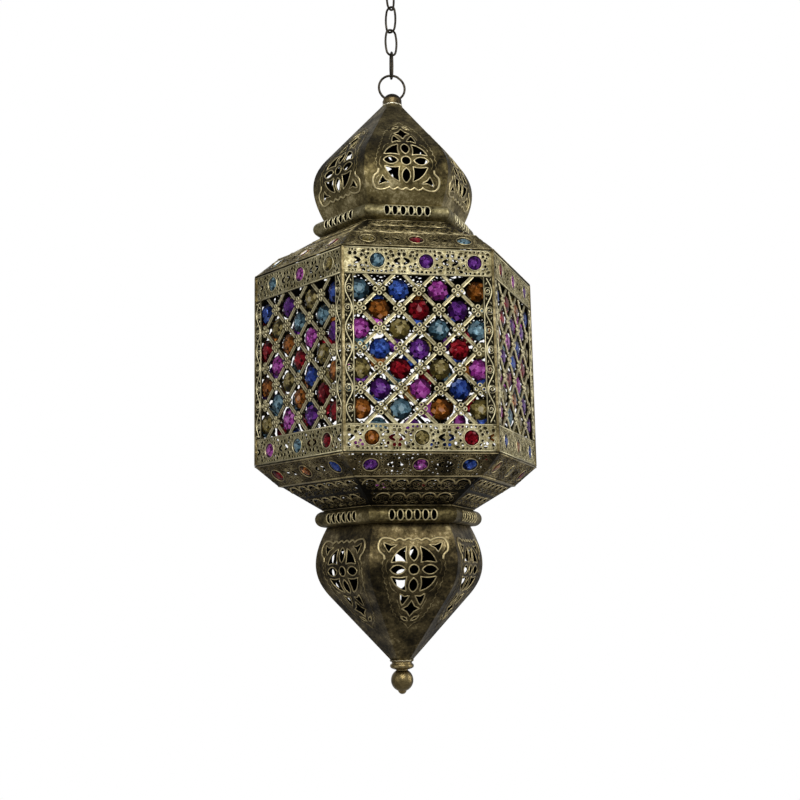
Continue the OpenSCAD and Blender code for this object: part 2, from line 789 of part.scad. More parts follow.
frame_stones("v");  // violet_stones
frame_stones("m");  // magenta_stones
door_stones("r");  // door_red_stones
door_stones("a");  // door_amber_stones
door_stones("t");  // door_teal_stones
door_stones("b");  // door_blue_stones
door_stones("v");  // door_violet_stones
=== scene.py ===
"""Looks of the hanging lantern: pierced and embossed brass, faceted stones, chain, light and camera.

Lengths here are millimetres until a mesh is made, and heights are measured from the middle of the
drum. A sheet is drawn flat as outlines in x and y, with h standing proud of its outer face, and is
then wrapped on to a side, a shoulder, a dome or a collar. The lower half of the lantern is the upper
half turned over.
"""

import random
from math import asin, atan2, ceil, copysign, cos, degrees, dist, pi, radians, sin, sqrt, tan

import bmesh
import bpy
import numpy as np
from mathutils import Matrix, Vector


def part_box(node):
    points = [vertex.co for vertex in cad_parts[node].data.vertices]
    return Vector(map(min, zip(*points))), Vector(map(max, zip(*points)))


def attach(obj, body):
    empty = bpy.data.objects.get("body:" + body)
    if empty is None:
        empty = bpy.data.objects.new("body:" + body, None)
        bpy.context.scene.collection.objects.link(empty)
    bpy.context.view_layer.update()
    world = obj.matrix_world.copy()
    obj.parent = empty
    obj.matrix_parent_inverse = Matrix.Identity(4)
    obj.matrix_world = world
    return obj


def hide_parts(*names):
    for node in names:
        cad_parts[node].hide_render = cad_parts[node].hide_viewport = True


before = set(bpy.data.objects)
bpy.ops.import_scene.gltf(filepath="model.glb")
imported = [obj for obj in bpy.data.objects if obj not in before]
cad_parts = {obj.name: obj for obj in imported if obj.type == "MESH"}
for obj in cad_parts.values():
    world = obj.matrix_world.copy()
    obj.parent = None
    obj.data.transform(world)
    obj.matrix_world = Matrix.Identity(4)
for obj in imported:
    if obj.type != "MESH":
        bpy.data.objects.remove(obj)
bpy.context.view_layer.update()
random.seed(7)

MM = 0.001
SIDES = ["front", "front_right", "back_right", "back", "back_left", "front_left"]
DOOR = 4
SIDE_ANGLE = radians(60)
HALF_ANGLE = SIDE_ANGLE / 2


# ---- sizes: distances out from the axis end in _N

def node_box(node):
    low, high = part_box(node)
    return Vector(low) / MM, Vector(high) / MM


def middle_and_half(node):
    """The height of a node's middle, and half its own height."""
    low, high = node_box(node)
    return (low.z + high.z) / 2 - DRUM_Z, (high.z - low.z) / 2


posts_low, posts_high = node_box("corner_posts")
DRUM_Z = (posts_low.z + posts_high.z) / 2
OUTER_N = (posts_high.x - posts_low.x) / 2 * cos(HALF_ANGLE)
panel_low, panel_high = node_box("front_panel")
PANEL_N = -panel_low.y
PANEL_T = panel_high.y - panel_low.y
PANEL_HALF_W = panel_high.x
PANEL_HALF_H = (panel_high.z - panel_low.z) / 2
lattice_low, lattice_high = node_box("front_lattice")
LATTICE_N = -lattice_low.y
LATTICE_HALF_W = lattice_high.x
LATTICE_HALF_H = (lattice_high.z - lattice_low.z) / 2
COLLAR_Z, COLLAR_TUBE_R = middle_and_half("upper_collar")
COLLAR_N = node_box("upper_collar")[1].y - COLLAR_TUBE_R
SHOULDER_FOOT_Z = 83.2
SHOULDER_Z = node_box("upper_gem_band")[1].z - DRUM_Z
SHOULDER_N = 104 * cos(HALF_ANGLE)
COLLAR_FOOT_N = 56.9
DOME_TIP_Z = node_box("upper_gore_front")[1].z - DRUM_Z
DOME_TIP_R = 9.1
# The curve of a dome's corner edge, as distance out and height
DOME_CURVE = [(63, 135.4), (76.3, 160), (77, 176.6), (60.5, 194)]

SHEET_T = 0.8
WINDOW_HALF_W = 53
WINDOW_HALF_H = 60.3
PITCH = 16.1
BAR_W = 2.6
CELL_HALF = PITCH - BAR_W / sqrt(2)
CELL_SIDE = CELL_HALF / sqrt(2)
LATTICE_CLEAR = LATTICE_HALF_W - 1.4
STONE_GAP = 40
BAND_STONES = [-STONE_GAP, 0, STONE_GAP]
SMALL_STONE_R = 6
SEAT_R = SMALL_STONE_R + 0.05
BAND_STONE_Z = 71.55
# How far the pattern of the top band lies off centre, by the number of the side
TOP_BAND_SHIFT = {0: 6.3, 5: 4.5}
LATCH_HOLE = (56.2, -71)
HOLE_GAP = 0.45


# ---- outlines

def polar(cx, cy, r, a):
    return cx + r * cos(a), cy + r * sin(a)


def circle(cx, cy, r, n):
    return [polar(cx, cy, r, 2 * pi * i / n) for i in range(n)]


def oval(cx, cy, w, h, n=18):
    angles = [2 * pi * i / n for i in range(n)]
    return [(cx + w / 2 * cos(a), cy + h / 2 * sin(a)) for a in angles]


def rectangle(x0, y0, x1, y1):
    return [(x0, y0), (x1, y0), (x1, y1), (x0, y1)]


def lens(cx, cy, length, width, turn, n=5):
    """A pointed oval lying along the direction turn, in degrees."""
    radius = (length * length + width * width) / (4 * width)
    reach = asin(length / (2 * radius))
    points = []
    for side in (1, -1):
        for i in range(n):
            a = reach * (2 * i / n - 1)
            lift = radius * cos(a) - radius + width / 2
            points.append((side * radius * sin(a), side * lift))
    return turned(points, turn, cx, cy)


def arc_slot(cx, cy, r, start, end, thick, n=7):
    """A crescent: a slot along an arc, from start to end in degrees, that thins out to its ends."""
    outer, inner = [], []
    for i in range(n + 1):
        a = radians(start + (end - start) * i / n)
        half = thick / 2 * sin(pi * (i + 0.35) / (n + 0.7))
        outer.append(polar(cx, cy, r + half, a))
        inner.append(polar(cx, cy, r - half, a))
    return outer + inner[::-1]


def turned(points, turn, cx, cy):
    c, s = cos(radians(turn)), sin(radians(turn))
    return [(cx + x * c - y * s, cy + x * s + y * c) for x, y in points]


def mirrored(points):
    return [(-x, y) for x, y in reversed(points)]


def hermite(p0, p1, p2, p3, t, tension):
    m1 = tension * (p2 - p0)
    m2 = tension * (p3 - p1)
    return ((2 * t ** 3 - 3 * t ** 2 + 1) * p1 + (t ** 3 - 2 * t ** 2 + t) * m1
            + (3 * t ** 2 - 2 * t ** 3) * p2 + (t ** 3 - t ** 2) * m2)


def curve_piece(knots, steps, tension):
    """Points of a smooth curve from the second of four knots up to the third, without the third."""
    points = []
    for k in range(steps):
        points.append(tuple(hermite(*axis, k / steps, tension) for axis in zip(*knots)))
    return points


def smooth_loop(corners, steps, tension):
    """A closed smooth curve through the corners."""
    n = len(corners)
    points = []
    for i in range(n):
        points += curve_piece([corners[(i + j - 1) % n] for j in range(4)], steps, tension)
    return points


def smooth_line(corners, steps):
    """An open smooth curve through the corners."""
    ends = [corners[0], *corners, corners[-1]]
    points = []
    for i in range(len(corners) - 1):
        points += curve_piece(ends[i:i + 4], steps, 0.5)
    return points + [corners[-1]]


def area(loop):
    return sum(a[0] * b[1] - b[0] * a[1] for a, b in zip(loop, loop[1:] + loop[:1])) / 2


def neighbours(path, i, closed):
    """The points before and after one of a path's points, which is its own neighbour at an open end."""
    before = path[i - 1] if closed or i > 0 else path[i]
    after = path[(i + 1) % len(path)] if closed or i < len(path) - 1 else path[i]
    return before, after


def resampled(line, step, closed=False):
    """The same line with no piece longer than step."""
    points = []
    for a, b in zip(line, line[1:] + line[:1] if closed else line[1:]):
        n = max(1, ceil(dist(a, b) / step))
        points += [(a[0] + (b[0] - a[0]) * i / n, a[1] + (b[1] - a[1]) * i / n) for i in range(n)]
    return points if closed else points + [line[-1]]


# ---- flat parts, each as its points, faces and wear: 0 or less is dark patina, 1 is rubbed bright; the backs of sheets and pressed dots are painted shade

# Wear of the backs of sheets and of pressed dots: painted shade, in the darkest patina colour
PAINTED_SHADE = -0.9
# Profiles of raised lines: distance across and height
RIM = [(-0.1, -0.25), (0.05, 0.42), (0.42, 0.6), (0.85, 0.4), (1.15, -0.1)]
FINE_RIM = [(-0.05, -0.2), (0.08, 0.26), (0.34, 0.3), (0.62, -0.08)]
FINE_LINE = [(-0.42, -0.1), (-0.2, 0.26), (0.2, 0.26), (0.42, -0.1)]
BAR = [(-1.55, -0.9), (-1.5, 0.3), (-1.22, 0.52), (-0.82, 0.4), (-0.55, 0.14), (0.55, 0.14),
       (0.82, 0.4), (1.22, 0.52), (1.5, 0.3), (1.55, -0.9)]
SEAT = [(-0.05, -0.5), (0.1, 0.7), (0.45, 0.8), (0.95, -0.05)]
RING = [(-0.5, -1.3), (-0.5, 0.45), (-0.22, 0.7), (0.22, 0.7), (0.5, 0.45), (0.5, -1.3)]
BOSS = [(-1.0, 0.85), (-0.35, 0.85), (0.2, 0.5), (0.4, -0.2), (-1.0, -0.2)]


def bead(half, foot, inner, shoulder, top):
    """The profile of a rounded line, from a foot to a top at its middle."""
    return [(-half, foot), (-inner, shoulder), (0.0, top), (inner, shoulder), (half, foot)]


LINE = bead(0.62, -0.12, 0.36, 0.36, 0.48)
BOLD_LINE = bead(1.1, -0.12, 0.7, 0.55, 0.8)
ARCH = bead(0.8, -0.12, 0.45, 0.6, 0.75)
SCROLL = bead(0.62, -0.4, 0.42, 0.46, 0.62)
CURL = bead(0.44, -0.6, 0.28, 0.46, 0.6)


def pierced(outline, holes, thick, cuts=(), front=0.36):
    """A flat sheet from h = -thick to 0 with holes in it, cut across at each y in cuts."""
    curve = bpy.data.curves.new("outline", "CURVE")
    curve.dimensions = "2D"
    curve.fill_mode = "BOTH"
    curve.extrude = thick / 2
    for loop in [outline, *holes]:
        spline = curve.splines.new("POLY")
        spline.points.add(len(loop) - 1)
        for point, (x, y) in zip(spline.points, loop):
            point.co = (x, y, 0, 1)
        spline.use_cyclic_u = True
    holder = bpy.data.objects.new("outline", curve)
    mesh = bpy.data.meshes.new_from_object(holder)
    bm = bmesh.new()
    bm.from_mesh(mesh)
    bpy.data.objects.remove(holder)
    bpy.data.curves.remove(curve)
    bpy.data.meshes.remove(mesh)
    bmesh.ops.remove_doubles(bm, verts=bm.verts, dist=1e-4)
    for y in cuts:
        cut(bm, (0, y, 0), (0, 1, 0))
    bmesh.ops.recalc_face_normals(bm, faces=bm.faces)
    points, faces = taken_from(bm)
    points = [(x, y, h - thick / 2) for x, y, h in points]
    # The back face is painted dark: painted shade for the inside of the lantern
    return points, faces, [front if h > -thick / 2 else PAINTED_SHADE for _, _, h in points]


def cut(bm, place, normal, clear=False):
    """Cuts a mesh across with a plane, and clears what lies on the side of the normal if asked to."""
    bmesh.ops.bisect_plane(bm, geom=bm.verts[:] + bm.edges[:] + bm.faces[:], dist=1e-5,
                           plane_co=place, plane_no=normal, clear_outer=clear)


def taken_from(bm):
    """The points and faces of a mesh, which is freed."""
    bm.verts.index_update()
    points = [tuple(v.co) for v in bm.verts]
    faces = [tuple(v.index for v in f.verts) for f in bm.faces]
    bm.free()
    return points, faces


def ridge(path, profile, closed=False):
    """A raised line along a path. On a closed path the profile's offsets run outwards."""
    n = len(path)
    outward = 1 if not closed or area(path) > 0 else -1
    points = []
    for i, here in enumerate(path):
        before, after = neighbours(path, i, closed)
        d1 = Vector((here[0] - before[0], here[1] - before[1]))
        d2 = Vector((after[0] - here[0], after[1] - here[1]))
        d1 = d1.normalized() if d1.length > 1e-9 else d2.normalized()
        d2 = d2.normalized() if d2.length > 1e-9 else d1
        along = (d1 + d2).normalized()
        across = Vector((along.y, -along.x)) * outward
        mitre = 1 / max(0.62, along.dot(d2))
        for offset, h in profile:
            points.append((here[0] + across.x * offset * mitre, here[1] + across.y * offset * mitre, h))
    faces = skin(n, len(profile), closed)
    if outward < 0:
        faces = [face[::-1] for face in faces]
    return points, faces, [min(1.0, max(0.0, 0.25 + 1.5 * h)) for _, _, h in points]


def skin(n, m, closed):
    """Faces that join n rings of m points each, with end faces if it isn't closed."""
    faces = []
    for i in range(n if closed else n - 1):
        j = (i + 1) % n
        for k in range(m):
            l = (k + 1) % m
            faces.append((i * m + k, i * m + l, j * m + l, j * m + k))
    if not closed:
        faces.append(tuple(range(m))[::-1])
        faces.append(tuple((n - 1) * m + k for k in range(m)))
    return faces


# ---- wraps, from (x, y, h) to a place on the front side in space

def on_side(n):
    return lambda x, y, h: Vector((x, -(n + h), y))


class Slope:
    """A flat slope between two points given as (n, z); y runs up it from the first."""

    def __init__(self, foot, top):
        self.foot = Vector(foot)
        self.along = Vector(top) - self.foot
        self.length = self.along.length
        self.along.normalize()
        self.out = Vector((self.along.y, -self.along.x))

    def half_w(self, y):
        return (self.foot.x + self.along.x * y) * tan(HALF_ANGLE)

    def outline(self, gap=0.08):
        low, high = self.half_w(0), self.half_w(self.length)
        return [(gap - low, 0), (low - gap, 0), (high - gap, self.length), (gap - high, self.length)]

    def __call__(self, x, y, h):
        p = self.foot + self.along * y + self.out * h
        return Vector((x, -p.x, p.y))


class Dome:
    """The face of a dome; y is the length along its middle line from the collar."""

    def __init__(self, steps=48):
        corner = [Vector(p) for p in DOME_CURVE]
        line = []
        for i in range(steps + 1):
            t = i / steps
            line.append((1 - t) ** 3 * corner[0] + 3 * (1 - t) ** 2 * t * corner[1]
                        + 3 * (1 - t) * t * t * corner[2] + t ** 3 * corner[3])
        line.append(Vector((DOME_TIP_R, DOME_TIP_Z)))
        self.line = [Vector((p.x * cos(HALF_ANGLE), p.y)) for p in line]
        self.at = [0.0]
        for a, b in zip(self.line, self.line[1:]):
            self.at.append(self.at[-1] + (b - a).length)
        self.length = self.at[-1]
        self.bend = self.at[-2]

    def point(self, y):
        i = 0
        while i < len(self.at) - 2 and self.at[i + 1] < y:
            i += 1
        t = (y - self.at[i]) / (self.at[i + 1] - self.at[i])
        return self.line[i].lerp(self.line[i + 1], t)

    def half_w(self, y):
        return self.point(y).x * tan(HALF_ANGLE)

    def __call__(self, x, y, h):
        d = (self.point(min(y + 0.8, self.length)) - self.point(max(y - 0.8, 0))).normalized()
        p = self.point(y) + Vector((d.y, -d.x)) * h
        return Vector((x, -p.x, p.y))


def on_collar(x, y, h):
    """Round the collar's tube; y is the length round it from its outermost line."""
    a = y / COLLAR_TUBE_R
    r = COLLAR_TUBE_R + h
    return Vector((x, -(COLLAR_N + r * cos(a)), COLLAR_Z + r * sin(a)))


# ---- pieces

def as_bmesh(points, faces, wear):
    bm = bmesh.new()
    layer = bm.verts.layers.float.new("wear")
    verts = [bm.verts.new(p) for p in points]
    for v, w in zip(verts, wear):
        v[layer] = w
    for face in faces:
        bm.faces.new([verts[i] for i in face])
    return bm


def new_object(name, data):
    obj = bpy.data.objects.new(name, data)
    bpy.context.scene.collection.objects.link(obj)
    return obj


class Piece:
    """One visible object, gathered from parts and made into a mesh in the row frame."""

    def __init__(self, name):
        self.name = name
        self.points, self.faces, self.wear, self.smooth, self.painted_lights = [], [], [], [], []
        self.put(None)

    def put(self, wrap, side=0, upper=True):
        """Says how, on which side and in which half the parts that follow are placed."""
        self.wrap = wrap
        self.upper = upper
        self.turn = Matrix.Rotation(SIDE_ANGLE * side, 3, "Z")

    def add(self, part, smooth=False, painted_lights=None):
        points, faces, wear = part
        base = len(self.points)
        for p in points:
            v = self.wrap(*p) if self.wrap else Vector(p)
            if not self.upper:
                v = Vector((v.x, v.y, -v.z))
            self.points.append(self.turn @ v)
        self.faces += [[base + i for i in face] for face in faces]
        self.wear += wear
        self.smooth += [smooth] * len(faces)
        self.painted_lights += painted_lights or [0.5] * len(faces)

    def line(self, path, profile, closed=False):
        self.add(ridge(path, profile, closed), True)

    def rims(self, holes, profile=FINE_RIM):
        for hole in holes:
            self.line(hole, profile, True)

    def make(self, body, slot, material, replaces=True):
        places = [(p.x * MM, p.y * MM, (p.z + DRUM_Z) * MM) for p in self.points]
        bm = as_bmesh(places, self.faces, self.wear)
        # Each face's painted light, which only the stones' material reads: painted reflections and shade
        layer = bm.faces.layers.float.new("painted_light")
        for face, smooth, painted_light in zip(bm.faces, self.smooth, self.painted_lights):
            face.smooth = smooth
            face[layer] = painted_light
        bmesh.ops.recalc_face_normals(bm, faces=bm.faces)
        mesh = bpy.data.meshes.new(self.name)
        bm.to_mesh(mesh)
        bm.free()
        obj = new_object(self.name, mesh)
        mesh.materials.append(material)
        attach(obj, body)
        if replaces:
            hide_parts(self.name)


# ---- materials

class Graph:
    """The nodes of a material or of the world."""

    def __init__(self, owner):
        owner.use_nodes = True
        self.nodes = owner.node_tree.nodes
        self.links = owner.node_tree.links

    def feed(self, node, inputs):
        """Gives each input a value, or links it to another node's output."""
        for key, value in inputs.items():
            if isinstance(value, bpy.types.NodeSocket):
                self.links.new(value, node.inputs[key])
            else:
                node.inputs[key].default_value = value

    def add(self, kind, inputs=None, operation=None):
        node = self.nodes.new("ShaderNode" + kind)
        if operation:
            node.operation = operation
        self.feed(node, inputs or {})
        return node

    def math(self, operation, a, b):
        return self.add("Math", {0: a, 1: b}, operation).outputs[0]

    def coords(self, kind="Object"):
        return self.add("TexCoord").outputs[kind]

    def attribute(self, name):
        node = self.add("Attribute")
        node.attribute_name = name
        return node.outputs["Fac"]

    def noise(self, scale, detail, rough=0.6):
        inputs = {"Vector": self.coords(), "Scale": scale, "Detail": detail, "Roughness": rough}
        return self.add("TexNoise", inputs).outputs["Fac"]

    def centred(self, value, scale):
        """A noise of mean 0.5 brought to mean 0, and scaled."""
        return self.math("MULTIPLY", self.math("SUBTRACT", value, 0.5), scale)

    def span(self, value, source=(0, 1), target=(0, 1)):
        """A number mapped from one range to another."""
        inputs = {"Value": value, "From Min": source[0], "From Max": source[1],
                  "To Min": target[0], "To Max": target[1]}
        return self.add("MapRange", inputs).outputs["Result"]

    def ramp(self, value, stops):
        node = self.add("ValToRGB", {"Fac": value})
        elements = node.color_ramp.elements
        while len(elements) < len(stops):
            elements.new(0.5)
        for element, (place, colour) in zip(elements, stops):
            element.position = place
            element.color = (*colour, 1)
        return node.outputs["Color"]


def new_material(name):
    material = bpy.data.materials.new(name)
    graph = Graph(material)
    return material, graph, graph.nodes["Principled BSDF"]


def by_height(graph, node, low, high, foot, top):
    """A value by height on a CAD node: `foot` below the part `low` of its height, `top` above `high`."""
    box_low, box_high = node_box(node)
    heights = [(box_low.z + part * (box_high.z - box_low.z)) * MM for part in (low, high)]
    z = graph.add("SeparateXYZ", {0: graph.coords()}).outputs["Z"]
    return graph.span(z, heights, (foot, top))


def brass(name, patina, dark, mid, light, wear=None, blotch=0.55, rough=(0.58, 0.3), speck=1.3, bias=0.0):
    """Antique brass: dark patina in the hollows, rubbed bright on what stands proud.

    The wear is the mesh's own where none is given, and may be a number or the arguments of faded.
    """
    material, graph, shader = new_material(name)
    small = graph.noise(420, 5, 0.7)
    grain = graph.noise(1800, 3, 0.7)
    if wear is None:
        wear = graph.attribute("wear")
    elif isinstance(wear, tuple):
        wear = by_height(graph, *wear)
    patches = graph.centred(graph.noise(55, 6, 0.68), 2.6 * blotch)
    marks = graph.math("ADD", patches, graph.centred(small, speck))
    factor = graph.math("ADD", marks, graph.math("ADD", wear, 0.08 + bias))
    bump = graph.add("Bump", {"Strength": 0.35, "Distance": 0.0004,
                              "Height": graph.math("ADD", grain, small)})
    stops = [(0.0, patina), (0.3, dark), (0.62, mid), (0.95, light)]
    graph.feed(shader, {
        "Base Color": graph.ramp(factor, stops),
        "Roughness": graph.span(factor, target=rough),
        "Metallic": 0.92,
        "Normal": bump.outputs["Normal"],
    })
    return material


def acrylic(name, deep, bright):
    """Tinted plastic in its own colour, with painted light on each facet: lighter and darker facets are
    painted reflections and shade of what lies behind it.
    """
    material, graph, shader = new_material(name)
    # Painted light on the facets: the darkest stop is painted shade, the pale one a painted highlight
    painted_light = graph.math("ADD", graph.attribute("painted_light"), graph.centred(graph.noise(110, 2), 0.4))
    black = tuple(0.06 * c for c in deep)
    pale = tuple(c + 0.3 * (1 - c) for c in bright)
    stops = [(0.2, black), (0.5, deep), (0.86, bright), (1.0, pale)]
    graph.feed(shader, {
        "Base Color": graph.ramp(painted_light, stops),
        "Roughness": graph.span(graph.noise(60, 2), target=(0.02, 0.1)),
        "Transmission Weight": 0.6,
        "IOR": 1.49,
        "Specular IOR Level": 0.16,
        "Specular Tint": (*(0.75 * c / max(bright) for c in bright), 1),
    })
    return material


# The four colours of each brass are its patina, then dark, middle and light metal
BRASS = brass("antique_brass", (0.008, 0.0065, 0.0025), (0.05, 0.038, 0.014), (0.19, 0.15, 0.06),
              (0.62, 0.52, 0.28), blotch=0.65, speck=0.95)
PALE = brass("pale_brass", (0.01, 0.008, 0.003), (0.07, 0.057, 0.022), (0.26, 0.22, 0.105),
             (0.66, 0.59, 0.36), bias=0.09, blotch=0.45)
# A darker copy of the antique brass for the lower half: painted shade
SHADED = brass("shaded_brass", (0.005, 0.004, 0.002), (0.032, 0.024, 0.01), (0.13, 0.098, 0.042),
               (0.48, 0.39, 0.2), blotch=0.75, speck=0.95)
PLAIN_BRASS = brass("plain_brass", (0.012, 0.01, 0.004), (0.07, 0.053, 0.02), (0.24, 0.19, 0.085),
                    (0.66, 0.56, 0.32), wear=0.5, rough=(0.5, 0.24))
PLAIN_DARK = brass("plain_dark_brass", (0.005, 0.004, 0.002), (0.03, 0.023, 0.01), (0.12, 0.09, 0.04),
                   (0.4, 0.33, 0.18), wear=0.36)
BRONZE = brass("blackened_bronze", (0.006, 0.005, 0.004), (0.024, 0.02, 0.014), (0.08, 0.066, 0.045),
               (0.34, 0.29, 0.2), wear=0.3, rough=(0.45, 0.28))
POLISHED = brass("polished_brass", (0.01, 0.008, 0.003), (0.06, 0.044, 0.016), (0.22, 0.165, 0.07),
                 (0.66, 0.54, 0.3), wear=0.46, blotch=0.4, rough=(0.26, 0.13), speck=0.45)
SOLDER = brass("solder", (0.04, 0.034, 0.018), (0.16, 0.13, 0.07), (0.44, 0.38, 0.24), (0.8, 0.74, 0.56),
               rough=(0.4, 0.2))
# The knob is darker towards its top
KNOB = brass("knob_brass", (0.006, 0.005, 0.003), (0.03, 0.021, 0.01), (0.15, 0.11, 0.05),
             (0.5, 0.41, 0.22), wear=("top_knob", 0.42, 0.6, 0.27, 0.05), rough=(0.36, 0.2), speck=0.7)
# Deep and bright colour of each kind of stone
STONE_COLOURS = {
    "red": ((0.14, 0.003, 0.008), (0.46, 0.018, 0.03)),
    "amber": ((0.2, 0.062, 0.007), (0.66, 0.24, 0.05)),
    "olive": ((0.18, 0.135, 0.03), (0.56, 0.46, 0.2)),
    "teal": ((0.06, 0.14, 0.19), (0.36, 0.56, 0.64)),
    "blue": ((0.018, 0.045, 0.27), (0.09, 0.19, 0.62)),
    "violet": ((0.075, 0.014, 0.16), (0.27, 0.07, 0.44)),
    "magenta": ((0.34, 0.03, 0.29), (0.74, 0.2, 0.68)),
}
STONES = {colour: acrylic(colour + "_acrylic", *pair) for colour, pair in STONE_COLOURS.items()}


def half_piece(name, upper):
    return Piece(("upper_" if upper else "lower_") + name)


def half_look(upper):
    """Slot and material of the sheets: the lower half gets a darker copy of the brass, painted shade for the
    underside.
    """
    return ("antique_brass", BRASS) if upper else ("shaded_brass", SHADED)


# ---- domes

dome = Dome()
ROSE_Y = 39.3
GORE_GAP = 0.06
# How much the wear of a gore changes, by height: rubbed at the foot, stained across the middle
STAIN = [(0, 0.2), (15, 0.17), (27, 0.0), (44, -0.2), (66, -0.16), (96, -0.02), (200, 0.0)]


def rounded_sector(turn):
    """The fan-shaped hole between two petals."""
    lower = [(6.3, 6.3), (9.4, 6.9), (13.4, 7.0), (17.9, 6.2)]
    start = atan2(lower[-1][1], lower[-1][0])
    angles = [start + (pi / 2 - 2 * start) * i / 7 for i in range(8)]
    arc = [polar(0, 0, 19.2, a) for a in angles]
    upper = [(y, x) for x, y in reversed(lower[1:])]
    return turned(lower + arc + upper, turn, 0, ROSE_Y)


def gore_holes():
    """The rosette with its four petals, and the corners, wings, slots and star round it."""
    holes = [circle(0, ROSE_Y, 3.7, 16)]
    for turn in (0, 90, 180, 270):
        holes.append(lens(*polar(0, ROSE_Y, 13.3, radians(turn)), 11.8, 6.6, turn, 7))
        holes.append(rounded_sector(turn))
    corner = [(14.2, 19.3), (18.4, 19.8), (23.6, 17.6), (22.6, 20.8), (20.4, 24.6), (18.6, 21.8)]
    wing = [(3.2, 63.2), (6.4, 63.8), (9.8, 61.6), (9.4, 66), (7.6, 71.8), (5.0, 67.6)]
    for shape in (smooth_loop(corner, 3, 0.35), smooth_loop(wing, 3, 0.4), lens(4.4, 86.4, 6.4, 2.0, 142)):
        holes += [shape, mirrored(shape)]
    star = [(0, 68.4), (2.6, 73.6), (6.6, 76.2), (2.6, 79), (0, 83.6), (-2.6, 79), (-6.6, 76.2), (-2.6, 73.6)]
    holes.append(resampled(star, 2.2, True))
    return holes


def scallops(line, bump, height):
    """Turns a line into a row of small bows of about the given length."""
    points = resampled(line, 0.7)
    total = sum(dist(a, b) for a, b in zip(points, points[1:]))
    count = max(1, round(total / bump))
    out, run = [], 0.0
    for i, p in enumerate(points):
        before, after = neighbours(points, i, False)
        d = Vector((after[0] - before[0], after[1] - before[1])).normalized()
        lift = height * abs(sin(pi * count * run / total))
        out.append((p[0] + d.y * lift, p[1] - d.x * lift))
        run += dist(p, points[min(i + 1, len(points) - 1)])
    return out


def gore_lines():
    """The right half of the lines round and in a gore's pattern, each with its profile."""
    foot = scallops([(0, 15.6), (14.5, 15.6)], 7.2, 2.0)
    lobe = smooth_line([(14.5, 15.4), (19.5, 13.4), (25.5, 13.6), (28.6, 18.4), (28.2, 24),
                        (24.8, 27.6), (24.2, 31)], 5)
    side = smooth_line([(24.2, 31), (25.2, 38), (23.4, 47), (20.6, 56), (17.8, 66), (14.6, 76),
                        (10.4, 84), (6, 90)], 5)
    tip = smooth_line([(6, 90), (2.6, 93), (0, 97)], 4)
    leaves = [
        [(25.6, 17.2), (26.6, 20), (25.4, 23.4), (23.6, 25.2)],
        [(21.2, 31.2), (23, 35), (22.8, 39.4), (21.4, 42.6)],
        [(19.8, 49.6), (17.6, 55.2), (13.2, 59.4)],
        [(12.4, 66), (10.6, 71.4), (8.6, 76.4)],
        [(9.6, 80.2), (6.6, 84), (4, 89.6)],
    ]
    lines = [(foot + lobe[1:], BOLD_LINE), (scallops(side, 5.4, 1.3) + tip[1:], FINE_LINE)]
    return lines + [(smooth_line(leaf, 4), FINE_LINE) for leaf in leaves]


def stained(part, amount):
    points, faces, wear = part
    changes = np.interp([p[1] for p in points], *zip(*STAIN))
    return points, faces, [w + amount * float(change) for w, change in zip(wear, changes)]


def make_gore(k, upper):
    """One of the six sheets of a dome."""
    edge = [dome.length * i / 60 for i in range(61)]
    outline = [(dome.half_w(y) - GORE_GAP, y) for y in edge]
    outline += [(GORE_GAP - dome.half_w(y), y) for y in reversed(edge)]
    cuts = [dome.bend * i / 26 for i in range(1, 27)] + [dome.bend + 10 * i for i in range(1, 7)]
    sheet = pierced(outline, gore_holes(), SHEET_T, cuts)
    piece = half_piece("gore_" + SIDES[k], upper)
    piece.put(dome, k, upper)
    piece.add(stained(sheet, 1.0 if upper else 0.3))
    piece.rims([resampled(hole, 1.6, True) for hole in gore_holes()], RIM)
    for path, profile in gore_lines():
        piece.line(path, profile)
        piece.line(mirrored(path), profile)
    piece.make("lantern", *half_look(upper))


# ---- collars

def trim_to_sector(piece, gap):
    """A part made of a piece cut off at the two mitres of the front side."""
    bm = as_bmesh(piece.points, piece.faces, piece.wear)
    bmesh.ops.remove_doubles(bm, verts=bm.verts, dist=1e-3)
    for s in (-1, 1):
        normal = Vector((s * cos(HALF_ANGLE), sin(HALF_ANGLE), 0))
        cut(bm, -normal * gap, normal, True)
    layer = bm.verts.layers.float["wear"]
    wear = [v[layer] for v in bm.verts]
    return *taken_from(bm), wear


def make_collar(upper):
    """A tube bent round the hexagon, with ovals and small triangles cut in its outer face."""
    round_length = 2 * pi * COLLAR_TUBE_R
    half_w = (COLLAR_N + COLLAR_TUBE_R) * tan(HALF_ANGLE) + 1
    outline = rectangle(-half_w, -round_length / 2, half_w, round_length / 2)
    middle = 0.4
    ovals = [(i - 2.5) * 7.0 for i in range(6)]
    gaps = [(a + b) / 2 for a, b in zip(ovals, ovals[1:])]
    holes = [oval(x, middle, 4.1, 8.4) for x in ovals]
    triangles = [[(x, middle + s * 1.4), (x + s * 1.5, middle + s * 4.3), (x - s * 1.5, middle + s * 4.3)]
                 for x in gaps for s in (-1, 1)]
    cuts = [round_length * (i / 40 - 0.5) for i in range(1, 40)]
    length = Piece("length")
    length.put(on_collar)
    length.add(pierced(outline, holes + triangles, SHEET_T, cuts), True)
    length.rims(holes, RIM)
    length.rims(triangles)
    trimmed = trim_to_sector(length, 0.08)
    piece = half_piece("collar", upper)
    for k in range(6):
        piece.put(None, k, upper)
        piece.add(trimmed, True)
    # The lower collar takes the darker brass: painted shade under the drum
    piece.make("lantern", "antique_brass", PALE if upper else BRASS)


# ---- filigree of the bands and shoulders

